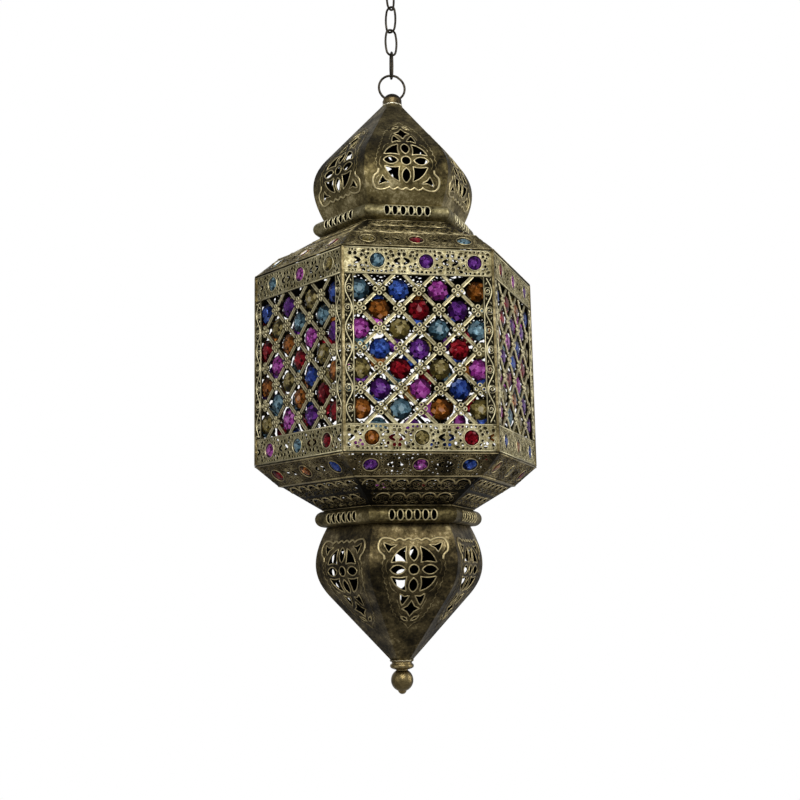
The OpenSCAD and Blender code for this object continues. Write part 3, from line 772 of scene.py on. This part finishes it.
# The small holes between two stones, for one quarter of the pattern, measured from its middle:
# across, up, length, width and turn
LACE = [
    (2.1, 6.0, 3.2, 2.2, 68), (4.9, 9.1, 3.0, 1.8, -24), (0, 9.2, 1.7, 1.5, 0), (7.2, 4.7, 2.8, 1.9, 66),
    (8.7, 7.9, 3.6, 1.8, 20), (11.0, 2.6, 2.4, 1.7, 74), (10.7, 0, 1.9, 1.7, 90), (12.6, 5.8, 2.5, 1.7, 44),
    (12.9, 9.2, 2.2, 1.5, 8), (16.4, 9.2, 2.0, 1.5, -14), (20, 9.3, 1.8, 1.6, 0), (3.9, 3.9, 1.5, 1.2, 30),
    (15.4, 7.2, 1.8, 1.3, 30), (9.6, 4.6, 1.5, 1.1, 80), (6.2, 7.2, 1.5, 1.2, -40), (2.3, 8.9, 1.4, 1.2, 20),
]
LACE_WIDTH = 1.28


def chevron(cx, cy, s):
    """An angle bracket whose tip points away from the middle of the pattern, towards s."""
    shape = [(7.0, 0), (5.6, 1.7), (1.7, 3.35), (1.2, 1.7), (3.7, 0), (1.2, -1.7), (1.7, -3.35), (5.6, -1.7)]
    if s < 0:
        shape = mirrored(shape)
    return [(cx + x, cy + y) for x, y in shape]


def free_of(loop, holes):
    """Whether a loop keeps clear of every hole."""
    middle = np.mean(loop, axis=0)
    reach = max(dist(p, middle) for p in loop)
    for hole in holes:
        if dist(hole[0], middle) > reach + 12:
            continue
        points = resampled(hole, 1.2, True)
        if any(dist(p, q) < HOLE_GAP for p in loop for q in points):
            return False
        if dist(np.mean(hole, axis=0), middle) < 1:
            return False
    return True


def filigree(half_w, height, stones, size):
    """Small holes round and between the stones of a band that is `height` high, y up from its foot."""
    mid = height / 2
    scale = (mid - 2.2) / 9.3
    middles = [(a + b) / 2 for a, b in zip(stones, stones[1:])]
    middles += [stones[0] - STONE_GAP / 2, stones[-1] + STONE_GAP / 2]
    loops = [chevron(c, mid, s) for c in middles for s in (-1, 1)]
    for x, y, length, width, turn in LACE:
        long, wide = size * length, LACE_WIDTH * size * width
        for c in middles:
            for s in (-1, 1):
                loops += [lens(c + s * x, mid + t * y * scale, long, wide, turn * s * t, 3) for t in (-1, 1)]
    holes = []
    for loop in loops:
        inside = all(abs(x) < half_w(y) - 1.2 and 1.1 < y < height - 1.1 for x, y in loop)
        clear = all(dist(p, (s, mid)) > SMALL_STONE_R + 1.2 for p in loop for s in stones)
        if inside and clear and free_of(loop, holes):
            holes.append(loop)
    return holes


def dimple(loop):
    """A pressed dot: a flat plug in the face of the sheet, painted dark: painted shade in place of a hole."""
    n = len(loop)
    points = [(x, y, h) for h in (0.03, -0.35) for x, y in loop]
    faces = [tuple(range(n)), tuple(range(2 * n - 1, n - 1, -1))]
    faces += [(i, (i + 1) % n, n + (i + 1) % n, n + i) for i in range(n)]
    return points, faces, [PAINTED_SHADE] * (2 * n)


def level_lines(piece, half_w, heights, gap):
    """Raised lines across a band at each of the heights."""
    for y in heights:
        reach = half_w(y) - gap
        piece.line([(-reach, y), (reach, y)], LINE)


gem_slope = Slope((OUTER_N, SHOULDER_FOOT_Z), (SHOULDER_N, SHOULDER_Z))
pierced_foot = Vector((SHOULDER_N, SHOULDER_Z)) - gem_slope.out * 1.05
pierced_slope = Slope(pierced_foot, (COLLAR_FOOT_N, COLLAR_Z - COLLAR_TUBE_R - 0.1))


def make_gem_band(upper):
    """The shoulder's steep band with its stones. In the upper one only the chevrons are cut through."""
    length = gem_slope.length
    small = filigree(gem_slope.half_w, length, BAND_STONES, 0.85)
    chevrons = 2 * len(BAND_STONES)
    cut_out, pressed = (small[:chevrons], small[chevrons:]) if upper else (small, [])
    seats = [circle(x, length / 2, SEAT_R, 24) for x in BAND_STONES]
    piece = half_piece("gem_band", upper)
    for k in range(6):
        piece.put(gem_slope, k, upper)
        piece.add(pierced(gem_slope.outline(), cut_out + seats, SHEET_T))
        # The small holes left uncut are pressed dots painted dark: painted shade in place of holes
        for dot in pressed:
            piece.add(dimple(dot))
        piece.rims(small)
        piece.rims(seats, SEAT)
        level_lines(piece, gem_slope.half_w, (0.7, length - 0.7), 0.4)
    piece.make("lantern", *half_look(upper))


def medallion(x, y, pitch):
    """The holes of one medallion of the pierced bands, y up from its foot."""
    return [
        arc_slot(x, y + 9.0, 4.9, 202, 338, 2.7),
        lens(x - 1.7, y + 8.6, 3.0, 1.9, 62, 4),
        lens(x + 1.7, y + 8.6, 3.0, 1.9, 118, 4),
        lens(x, y + 12.9, 3.8, 2.4, 0, 4),
        lens(x - 3.5, y + 14.4, 2.4, 1.6, 30, 3),
        lens(x + 3.5, y + 14.4, 2.4, 1.6, -30, 3),
        lens(x + pitch / 2, y + 9.6, 5.4, 3.0, 90, 4),
        lens(x + pitch / 2, y + 3.2, 4.2, 2.6, 0, 4),
        lens(x - 3.6, y + 2.0, 2.0, 1.4, 20, 3),
        lens(x + 3.6, y + 2.0, 2.0, 1.4, -20, 3),
    ]


def medallion_rows(slope, rows=2, pitch=12.7):
    """The holes and the arches of the rows of medallions on a slope."""
    step = (slope.length - 4) / rows
    angles = [radians(180 + 180 * j / 14) for j in range(15)]
    holes, arches = [], []
    for y in (2.0 + step * r for r in range(rows)):
        for x in (i * pitch for i in range(-5, 6)):
            for loop in medallion(x, y, pitch):
                inside = all(abs(px) < slope.half_w(py) - 1.6 and py < slope.length - 2.6 for px, py in loop)
                if inside and free_of(loop, holes):
                    holes.append(loop)
            if abs(x) + 6.4 < slope.half_w(y + 8):
                arches.append([(x + 6.0 * cos(a), y + 8.6 + 6.9 * sin(a)) for a in angles])
    return holes, arches


def make_pierced_band(upper):
    """The shoulder's flat band: two rows of medallions, each under an arch."""
    slope = pierced_slope
    holes, arches = medallion_rows(slope)
    piece = half_piece("pierced_band", upper)
    for k in range(6):
        piece.put(slope, k, upper)
        piece.add(pierced(slope.outline(), holes, SHEET_T, front=0.02))
        piece.rims(holes)
        for arch in arches:
            piece.line(arch, ARCH)
        level_lines(piece, slope.half_w, (0.9, slope.length - 1.4), 0.5)
    piece.make("lantern", *half_look(upper))


# ---- sides of the drum

def side_piece(kind, k):
    """A piece of a side, and the body that it rides on."""
    if k == DOOR:
        return Piece("door_" + kind), "door"
    return Piece(SIDES[k] + "_" + kind), "lantern"


def spiral(cx, cy, side):
    """A curl of one and a third turns inside its round hole."""
    points = []
    for i in range(15):
        t = i / 14
        a = radians(100 + 480 * t) * side
        points.append(polar(cx, cy, 0.4 + 2.4 * t, a))
    return points


def wave_x(centre, y):
    return centre - 2.75 * cos(pi * y / PITCH)


def border_strokes(centre, curls):
    """Short strokes between the wave and the curls of a scroll border; curls are their middles."""
    strokes = []
    for j in range(-4, 4):
        lean = 1 if j % 2 else -1
        for x, dy, length in ((1.5, -1.2, 4.2), (2.7, -0.4, 3.4), (2.9, -3.6, 2.6), (1.9, 1.8, 2.2)):
            for s in (-1, 1):
                cx, cy = centre + s * x, (j + 0.5) * PITCH + lean * s * dy
                dx, dz = 0.5 * length * 0.4, 0.5 * length * 0.9 * lean
                stroke = [(cx - dx, cy - dz), (cx, cy + 0.08 * s), (cx + dx, cy + dz)]
                on_wave = any(abs(px - wave_x(centre, py)) < 1.0 for px, py in stroke)
                on_curl = any(dist(p, curl) < 3.3 for p in stroke for curl in curls)
                if not on_wave and not on_curl and all(abs(px - centre) < 3.2 for px, _ in stroke):
                    strokes.append(stroke)
    return strokes


def add_border(piece, s, half_w):
    """A scroll border: a wave with a curl in each of its bays; s is 1 at the right end, -1 at the left."""
    inner, outer, half_h = WINDOW_HALF_W, half_w, WINDOW_HALF_H - 0.05
    centre = (inner + outer) / 2 + 0.1
    bays = [(centre + side * 0.6, j * PITCH, side) for j, side in zip(range(-3, 4), [-1, 1] * 4)]
    holes = [circle(x, y, 2.95, 14) for x, y, _ in bays]
    heights = [(i * 2 / 112 - 1) * (WINDOW_HALF_H - 1.2) for i in range(113)]
    wave = [(wave_x(centre, y), y) for y in heights]
    curls = [spiral(*bay) for bay in bays] + border_strokes(centre, [bay[:2] for bay in bays])
    if s < 0:
        wave = mirrored(wave)
        holes, curls = ([mirrored(loop) for loop in loops] for loops in (holes, curls))
    outline = [(s * inner, -half_h), (s * outer, -half_h), (s * outer, half_h), (s * inner, half_h)]
    piece.add(pierced(outline, holes, PANEL_T, front=-0.42))
    piece.rims(holes)
    piece.line(wave, SCROLL)
    for curl in curls:
        piece.line(curl, CURL)
    for x in (inner + 0.5, outer - 0.35):
        piece.line([(s * x, 0.3 - half_h), (s * x, half_h - 0.3)], LINE)


def add_band(piece, s, half_w, half_h, stones, latch):
    """The band above (s is 1) or below (-1) the window; the latch's hole is cut in it if asked for."""
    height = half_h - WINDOW_HALF_H
    base = WINDOW_HALF_H if s > 0 else -half_h
    from_window = BAND_STONE_Z - WINDOW_HALF_H
    mid = from_window if s > 0 else height - from_window
    small = filigree(lambda y: half_w, height, stones, 1.14)
    small = [[(x, y + base) for x, y in hole] for hole in small]
    seats = [circle(x, base + mid, SEAT_R, 24) for x in stones]
    extra = []
    if latch:
        extra = [circle(*LATCH_HOLE, 1.3, 12)]
        small = [hole for hole in small if min(dist(p, LATCH_HOLE) for p in hole) > 3]
    outline = rectangle(-half_w, base, half_w, base + height)
    piece.add(pierced(outline, small + seats + extra, PANEL_T, front=0.5))
    piece.rims(small)
    piece.rims(seats, SEAT)
    level_lines(piece, lambda y: half_w, (base + 0.7, base + height - 0.7), 0.4)


def make_panel(k):
    """The two bands and the two scroll borders round the window of a side."""
    door = k == DOOR
    piece, body = side_piece("panel", k)
    half_w = PANEL_HALF_W - (0.5 if door else 0)
    half_h = PANEL_HALF_H - (0.6 if door else 0)
    piece.put(on_side(PANEL_N), k)
    for s in (-1, 1):
        shift = TOP_BAND_SHIFT.get(k, 0) if s > 0 else 0
        add_band(piece, s, half_w, half_h, [x + shift for x in BAND_STONES], door and s < 0)
    for s in (-1, 1):
        add_border(piece, s, half_w)
    piece.make(body, "bright_brass", PALE)


# ---- lattice

def cell_loop(x, y):
    """The clear diamond round a stone, cut off at the lattice's rim."""
    corners = []
    for c in range(4):
        tip = polar(x, y, CELL_HALF, pi / 2 * c)
        over = abs(tip[0]) - LATTICE_CLEAR
        if over > 0:
            s = copysign(1, tip[0])
            corners += [(s * LATTICE_CLEAR, y - s * over), (s * LATTICE_CLEAR, y + s * over)]
        else:
            corners.append(tip)
    return corners


def lattice_cells():
    """Middles of the cells that hold stones, and the part cells round the edge."""
    whole, part = [], []
    for j in range(-3, 4):
        columns = (-3, -1, 1, 3) if j % 2 else (-2, 0, 2)
        whole += [(i * PITCH, j * PITCH) for i in columns]
    edge = 4 * PITCH
    reach = LATTICE_CLEAR - edge + CELL_HALF
    for s in (-1, 1):
        for m in (-2 * PITCH, 0, 2 * PITCH):
            part.append([(m - CELL_HALF, edge * s), (m, edge * s - s * CELL_HALF), (m + CELL_HALF, edge * s)])
            part.append([(s * (edge - CELL_HALF), m), (s * LATTICE_CLEAR, m + reach),
                         (s * LATTICE_CLEAR, m - reach)])
    return whole, part


def claw(x, y, turn):
    """A small prong from the middle of a bar, bent over the stone's edge."""
    # Distance from the stone's middle, half width and height
    rows = [(CELL_SIDE + 0.5, 0.55, -0.3), (9.2, 0.5, 0.0), (8.5, 0.42, 0.35), (7.9, 0.25, 0.4)]
    c, s = cos(turn), sin(turn)
    points = []
    for r, half, top in rows:
        for v, h in ((-half, top), (half, top), (half, top - 0.6), (-half, top - 0.6)):
            points.append((x + r * c - v * s, y + r * s + v * c, h - 0.2))
    return points, skin(len(rows), 4, False), [0.3] * len(points)


def worn(part, scale, change=0.0):
    points, faces, wear = part
    return points, faces, [scale * w + change for w in wear]


def rosette(x, y):
    """Four small rings round a crossing and a boss in the middle."""
    parts = []
    for c in range(4):
        ring = circle(*polar(x, y, 3.3, pi / 2 * c), 1.5, 14)
        parts.append(worn(ridge(ring, RING, True), 0.8, -0.06))
    return parts + [worn(ridge(circle(x, y, 1.0, 8), BOSS, True), 0.5)]


def bar(x, y, s):
    """The raised length of bar between two crossings; its middle is at (x, y) and it leans towards s."""
    reach = (PITCH / sqrt(2) - 5.4) * sqrt(0.5)
    return ridge([(x + part * reach, y + s * part * reach) for part in (-1, -0.94, 0.94, 1)], BAR)


def make_lattice(k):
    """The plate of diamond cells with its claws, bars and rosettes."""
    piece, body = side_piece("lattice", k)
    piece.put(on_side(LATTICE_N), k)
    whole, part = lattice_cells()
    outline = rectangle(-LATTICE_HALF_W, -LATTICE_HALF_H, LATTICE_HALF_W, LATTICE_HALF_H)
    piece.add(pierced(outline, [cell_loop(*middle) for middle in whole] + part, 1.2, front=0.12))
    for x, y in whole:
        for c in range(4):
            piece.add(claw(x, y, pi / 4 + pi / 2 * c))
    for j in range(-4, 4):
        for i in range(-4, 4):
            x, y = (i + 0.5) * PITCH, (j + 0.5) * PITCH
            if abs(x) < LATTICE_HALF_W - 4:
                piece.add(bar(x, y, 1 if (i + j) % 2 else -1))
    for j in range(-3, 4):
        for i in range(-3, 4):
            if (i + j) % 2:
                for ring in rosette(i * PITCH, j * PITCH):
                    piece.add(ring, True)
    piece.make(body, "antique_brass", PALE)


# ---- stones

def brilliant(r):
    """A cut stone with its girdle at z = 0, and a random painted light for each facet."""
    points, faces, painted_lights = [], [], []

    def ring(n, radius, z, start=0.0):
        base = len(points)
        for i in range(n):
            points.append((*polar(0, 0, radius * r, start + 2 * pi * i / n), z * r))
        return [base + i for i in range(n)]

    # Each facet gets a random painted light between low and high: painted reflections and shade
    def facet(low, high, *corners):
        faces.append(corners)
        painted_lights.append(random.uniform(low, high))

    table = ring(8, 0.52, 0.235)
    crown = ring(8, 0.78, 0.15, pi / 8)
    girdle = ring(16, 1, 0.03)
    under = ring(16, 1, -0.03)
    pavilion = ring(8, 0.72, -0.2, pi / 8)
    culet = ring(8, 0.44, -0.32)
    inner = ring(8, 0.27, 0.235, pi / 8)
    facet(0.5, 1.0, *inner)
    for i in range(8):
        j = (i + 1) % 8
        left, middle, right = 2 * i, 2 * i + 1, (2 * i + 2) % 16
        facet(0.25, 0.85, table[i], inner[i], table[j])
        facet(0.3, 0.95, table[i], inner[i - 1], inner[i])
        facet(0.0, 0.7, table[i], crown[i], table[j])
        facet(0.1, 0.9, table[i], crown[i - 1], girdle[left], crown[i])
        facet(0.0, 0.35, crown[i], girdle[left], girdle[middle])
        facet(0.0, 0.35, crown[i], girdle[middle], girdle[right])
        facet(0.1, 0.6, under[left], under[middle], pavilion[i])
        facet(0.1, 0.6, under[middle], under[right], pavilion[i])
        facet(0.1, 1.0, culet[i], pavilion[i], culet[j])
        facet(0.1, 1.0, culet[i], pavilion[i - 1], under[left], pavilion[i])
    for i in range(16):
        j = (i + 1) % 16
        facet(0.0, 0.3, girdle[i], girdle[j], under[j], under[i])
    facet(0.5, 0.9, *culet)
    return points, faces, painted_lights


def solids_of(node):
    """The separate solids of a CAD node, each as an array of its points in the row frame."""
    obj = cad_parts[node]
    points = np.array([tuple(obj.matrix_world @ v.co) for v in obj.data.vertices])
    keys = {}
    same = [keys.setdefault(tuple(p), len(keys)) for p in np.round(points, 6)]
    parent = list(range(len(keys)))

    def find(i):
        while parent[i] != i:
            parent[i] = parent[parent[i]]
            i = parent[i]
        return i

    for polygon in obj.data.polygons:
        first = find(same[polygon.vertices[0]])
        for v in polygon.vertices[1:]:
            parent[find(same[v])] = first
    groups = {}
    for i, s in enumerate(same):
        groups.setdefault(find(s), []).append(points[i])
    return [np.array(g) for g in groups.values()]


def stone_normal(solid, centre, drum):
    """The way out that a stone faces: its side's in the drum, and its thinnest direction in a shoulder."""
    normal = np.linalg.svd(solid - solid.mean(0), full_matrices=False)[2][2]
    if abs(centre[2] - drum[2]) < (SHOULDER_FOOT_Z - 1) * MM:
        azimuth = round(degrees(atan2(centre[1], centre[0])) / 60 - 0.5) * 60 + 30
        normal = np.array((*polar(0, 0, 1, radians(azimuth)), 0))
    return -normal if np.dot(normal, centre - drum) < 0 else normal


def make_stones(node, colour, body):
    """Cut stones in the places of the CAD's round ones, each with a small tilt of its own."""
    piece = Piece(node)
    drum = np.array((0, 0, DRUM_Z * MM))
    for solid in solids_of(node):
        centre = (solid.min(0) + solid.max(0)) / 2
        normal = stone_normal(solid, centre, drum)
        reach = (solid - solid.mean(0)) @ normal
        r = np.linalg.norm(np.cross(solid - centre, normal), axis=1).max() / MM
        girdle = Vector(centre / MM) + Vector(normal) * ((reach.max() + reach.min()) / 2 / MM - 0.02 * r)
        turn = Vector(normal).normalized().to_track_quat("Z", "Y").to_matrix()
        spin = Matrix.Rotation(random.uniform(0, pi / 4), 3, "Z")
        tilt = Matrix.Rotation(radians(random.uniform(-2.5, 2.5)), 3, random.choice("XY"))
        points, faces, painted_lights = brilliant(r * (1.05 if r > SMALL_STONE_R + 1 else 1.0))
        placed = [tuple(girdle + turn @ tilt @ spin @ Vector(p) - Vector((0, 0, DRUM_Z))) for p in points]
        piece.add((placed, faces, [0.5] * len(points)), painted_lights=painted_lights)
    piece.make(body, colour + "_stone", STONES[colour])


# ---- chain, ring and solder

LINK_TWIST = [43.7, -46.3, 13.7, 90]
LINK_WIRE_R = 1.0


def tube(path, wire_r, closed, sides=12, flat=1.0, flat_axis=None):
    """A wire along a path in space, made thinner by the factor flat in the direction flat_axis."""
    n = len(path)
    path = [Vector(p) for p in path]
    points = []
    up = flat_axis and Vector(flat_axis)
    for i in range(n):
        before, after = neighbours(path, i, closed)
        along = (after - before).normalized()
        u = up or along.orthogonal()
        u = (u - along * u.dot(along)).normalized()
        if flat_axis is None:
            up = u
        v = along.cross(u)
        for k in range(sides):
            a = 2 * pi * k / sides
            points.append(tuple(path[i] + u * cos(a) * wire_r * flat + v * sin(a) * wire_r))
    return points, skin(n, sides, closed), [0.4] * len(points)


def link_outline(half_l, half_w, end_r):
    """Half of an oval link's outline, from its top to its bottom: tight ends, slightly bowed sides."""
    side_r = ((half_l - end_r) ** 2 + half_w * half_w - end_r * end_r) / (2 * (half_w - end_r))
    turn = asin((side_r - half_w) / (side_r - end_r))
    quarter = []
    for s in range(9):
        t = pi / 2 - turn * s / 8
        quarter.append(polar(0, half_l - end_r, end_r, t))
    for s in range(1, 7):
        t = (pi / 2 - turn) * (1 - s / 6)
        quarter.append(polar(half_w - side_r, 0, side_r, t))
    return quarter + [(x, -z) for x, z in reversed(quarter[:-1])]


def make_link(i):
    piece = Piece("chain_link_%d" % (i + 1))
    middle, half = middle_and_half(piece.name)
    right = link_outline(half - LINK_WIRE_R, 5.5, 4.6)
    left = [(-x, z) for x, z in reversed(right[1:-1])]
    c, s = cos(radians(LINK_TWIST[i])), sin(radians(LINK_TWIST[i]))
    path = [(x * c, x * s, middle + z) for x, z in right + left]
    piece.add(tube(path, LINK_WIRE_R, True, flat_axis=(-s, c, 0)), True)
    piece.make("link_%d" % (i + 1), "dark_bronze", BRONZE)


def make_split_ring():
    """Two turns of flattened wire."""
    piece = Piece("split_ring")
    middle, half = middle_and_half(piece.name)
    radius = half - 1.1
    path = []
    for i in range(129):
        t = i / 128
        a = radians(60) + 4 * pi * t
        x, z = polar(0, middle, radius, a)
        path.append((x, 0.56 * sin(pi * (t - 0.5)), z))
    piece.add(tube(path, 1.0, False, 12, 0.56, (0, 1, 0)), True)
    piece.make("ring", "dark_bronze", BRONZE)


def solder_ring(n, z, thick, seed, shine):
    """A ragged bead of solder round a joint."""
    rng = random.Random(seed)
    sides = 8
    path, sizes = [], []
    for i in range(72):
        path.append((*polar(0, 0, n, 2 * pi * i / 72), z + rng.uniform(-0.35, 0.35)))
        sizes.append(thick * rng.uniform(0.6, 1.35))
    points, faces, _ = tube(path, 1.0, True, sides)
    scaled = []
    for i, p in enumerate(points):
        middle = Vector(path[i // sides])
        scaled.append(tuple(middle + (Vector(p) - middle) * sizes[i // sides]))
    return scaled, faces, [shine] * len(scaled)


def make_solder():
    """The solder under the knob and above the finial."""
    piece = Piece("solder_beads")
    piece.add(solder_ring(8.5, DOME_TIP_Z - 0.2, 0.85, 3, 0.75), True)
    # The lower bead is darker than the upper one: painted shade under the lantern
    piece.add(solder_ring(9.2, 0.2 - DOME_TIP_Z, 0.8, 5, 0.3), True)
    piece.make("lantern", "bright_brass", SOLDER, replaces=False)


# ---- the lantern

for k in range(6):
    make_gore(k, True)
    make_gore(k, False)
    make_lattice(k)
    make_panel(k)
for upper in (True, False):
    make_collar(upper)
    make_gem_band(upper)
    make_pierced_band(upper)
for i in range(4):
    make_link(i)
make_split_ring()
make_solder()
for colour in STONES:
    make_stones(colour + "_stones", colour, "lantern")
for colour in ("red", "amber", "teal", "blue", "violet"):
    make_stones("door_%s_stones" % colour, colour, "door")

CAD_LOOKS = {
    "s_hook": BRONZE, "hinge_pins": BRONZE, "latch_tongue": BRONZE, "top_knob": KNOB,
    "drum_rims": PLAIN_DARK, "candle_tray": PLAIN_DARK, "frame_hinge_leaves": PLAIN_DARK,
    "door_hinge_leaves": PLAIN_DARK, "corner_posts": PLAIN_BRASS, "finial_flange": POLISHED,
    "finial_ball": POLISHED, "latch_thumb_turn": PLAIN_BRASS, "candle_cup": PLAIN_BRASS,
}
for node, material in CAD_LOOKS.items():
    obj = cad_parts[node]
    obj.data.materials.clear()
    obj.data.materials.append(material)


# ---- stage, light and camera

THROUGH_STONES = 0.6
KEY_DIRECTION = Vector((0.12, -0.96, 0.22)).normalized()


def grey(stops):
    return [(place, (value, value, value)) for place, value in stops]


def white_to_camera(graph, other, kind):
    """White where the camera sees it, a little less so through the stones, `other` to every other ray."""
    path = graph.add("LightPath")
    through = graph.math("MULTIPLY", path.outputs["Is Transmission Ray"], THROUGH_STONES)
    seen = graph.math("MAXIMUM", path.outputs["Is Camera Ray"], through)
    white = graph.add(kind, {"Color": (1, 1, 1, 1)})
    return graph.add("MixShader", {"Fac": seen, 1: other.outputs[0], 2: white.outputs[0]})


def make_floor():
    reach = 6.0
    z = node_box("finial_ball")[0].z * MM - 0.45
    mesh = bpy.data.meshes.new("floor")
    corners = [(x, y, z) for x, y in rectangle(-reach, -reach, reach, reach)]
    mesh.from_pydata(corners, [], [(0, 1, 2, 3)])
    floor = new_object("floor", mesh)
    material, graph, shader = new_material("floor")
    # Darker round the middle: a painted shadow pool under the lantern, seen in reflections and bounced light,
    # as the camera sees white
    distance = graph.add("VectorMath", {0: graph.coords()}, "LENGTH").outputs["Value"]
    painted_lights = graph.ramp(graph.math("DIVIDE", distance, 4.0), grey([(0.16, 0.16), (0.34, 0.5)]))
    graph.feed(shader, {"Base Color": painted_lights, "Roughness": 0.9})
    mix = white_to_camera(graph, shader, "Emission")
    graph.feed(graph.nodes["Material Output"], {"Surface": mix.outputs[0]})
    mesh.materials.append(material)


def make_world():
    """A pale studio, stronger towards the key light and behind the lantern."""
    world = bpy.data.worlds.new("studio")
    bpy.context.scene.world = world
    graph = Graph(world)
    light = graph.nodes["Background"]
    direction = graph.coords("Generated")
    height = graph.add("SeparateXYZ", {0: direction}).outputs["Z"]
    colours = [(0.0, (0.2, 0.2, 0.2)), (0.3, (0.7, 0.7, 0.71)), (0.55, (0.95, 0.96, 0.98)),
               (1.0, (0.9, 0.91, 0.95))]
    towards = graph.add("VectorMath", {0: direction, 1: KEY_DIRECTION}, "DOT_PRODUCT").outputs["Value"]
    strengths = grey([(0.0, 0.6), (0.3, 0.32), (0.55, 0.27), (0.82, 0.72), (1.0, 0.98)])
    graph.feed(light, {"Color": graph.ramp(graph.span(height, (-1, 1)), colours),
                       "Strength": graph.ramp(graph.span(towards, (-1, 1)), strengths)})
    mix = white_to_camera(graph, light, "Background")
    graph.feed(graph.nodes["World Output"], {"Surface": mix.outputs[0]})


def softbox(name, place, aim, size, power):
    data = bpy.data.lights.new(name, "AREA")
    data.shape = "RECTANGLE"
    data.size, data.size_y = size
    data.energy = power
    light = new_object(name, data)
    light.location = place
    light.rotation_euler = (Vector(aim) - Vector(place)).to_track_quat("-Z", "Y").to_euler()


def make_camera():
    """Below the middle of the drum, a little to the left, looking up; it is rolled by one degree."""
    azimuth, elevation, roll = radians(-10.34), radians(-9.23), radians(-1.03)
    distance, aim_right, aim_up, focal = 1059, 2.4, -24.1, 54.2
    data = bpy.data.cameras.new("camera")
    data.lens = focal
    data.sensor_width = 36
    data.clip_start = 0.01
    camera = new_object("camera", data)
    bpy.context.scene.camera = camera
    right = Vector((*polar(0, 0, 1, azimuth), 0))
    back = Vector((sin(azimuth) * cos(elevation), -cos(azimuth) * cos(elevation),
                   sin(elevation)))
    aim = right * aim_right + Vector((0, 0, DRUM_Z + aim_up))
    tilted_right = right * cos(roll) + back.cross(right) * sin(roll)
    matrix = Matrix((tilted_right, back.cross(tilted_right), back)).transposed().to_4x4()
    matrix.translation = (aim + back * distance) * MM
    camera.matrix_world = matrix


make_floor()
make_world()
drum = Vector((0, 0, DRUM_Z * MM))
softbox("key", drum + Vector((-0.15, -1.6, 1.0)), drum, (1.0, 0.9), 14)
softbox("left", drum + Vector((-1.9, -0.9, 0.2)), drum, (0.9, 1.4), 5)
softbox("right", drum + Vector((1.9, -0.2, 0.1)), drum, (0.9, 1.5), 12)
softbox("back", drum + Vector((0.2, 1.9, 0.9)), drum, (1.4, 1.0), 8)
make_camera()
bpy.context.scene.view_settings.view_transform = "Standard"

bpy.context.view_layer.update()
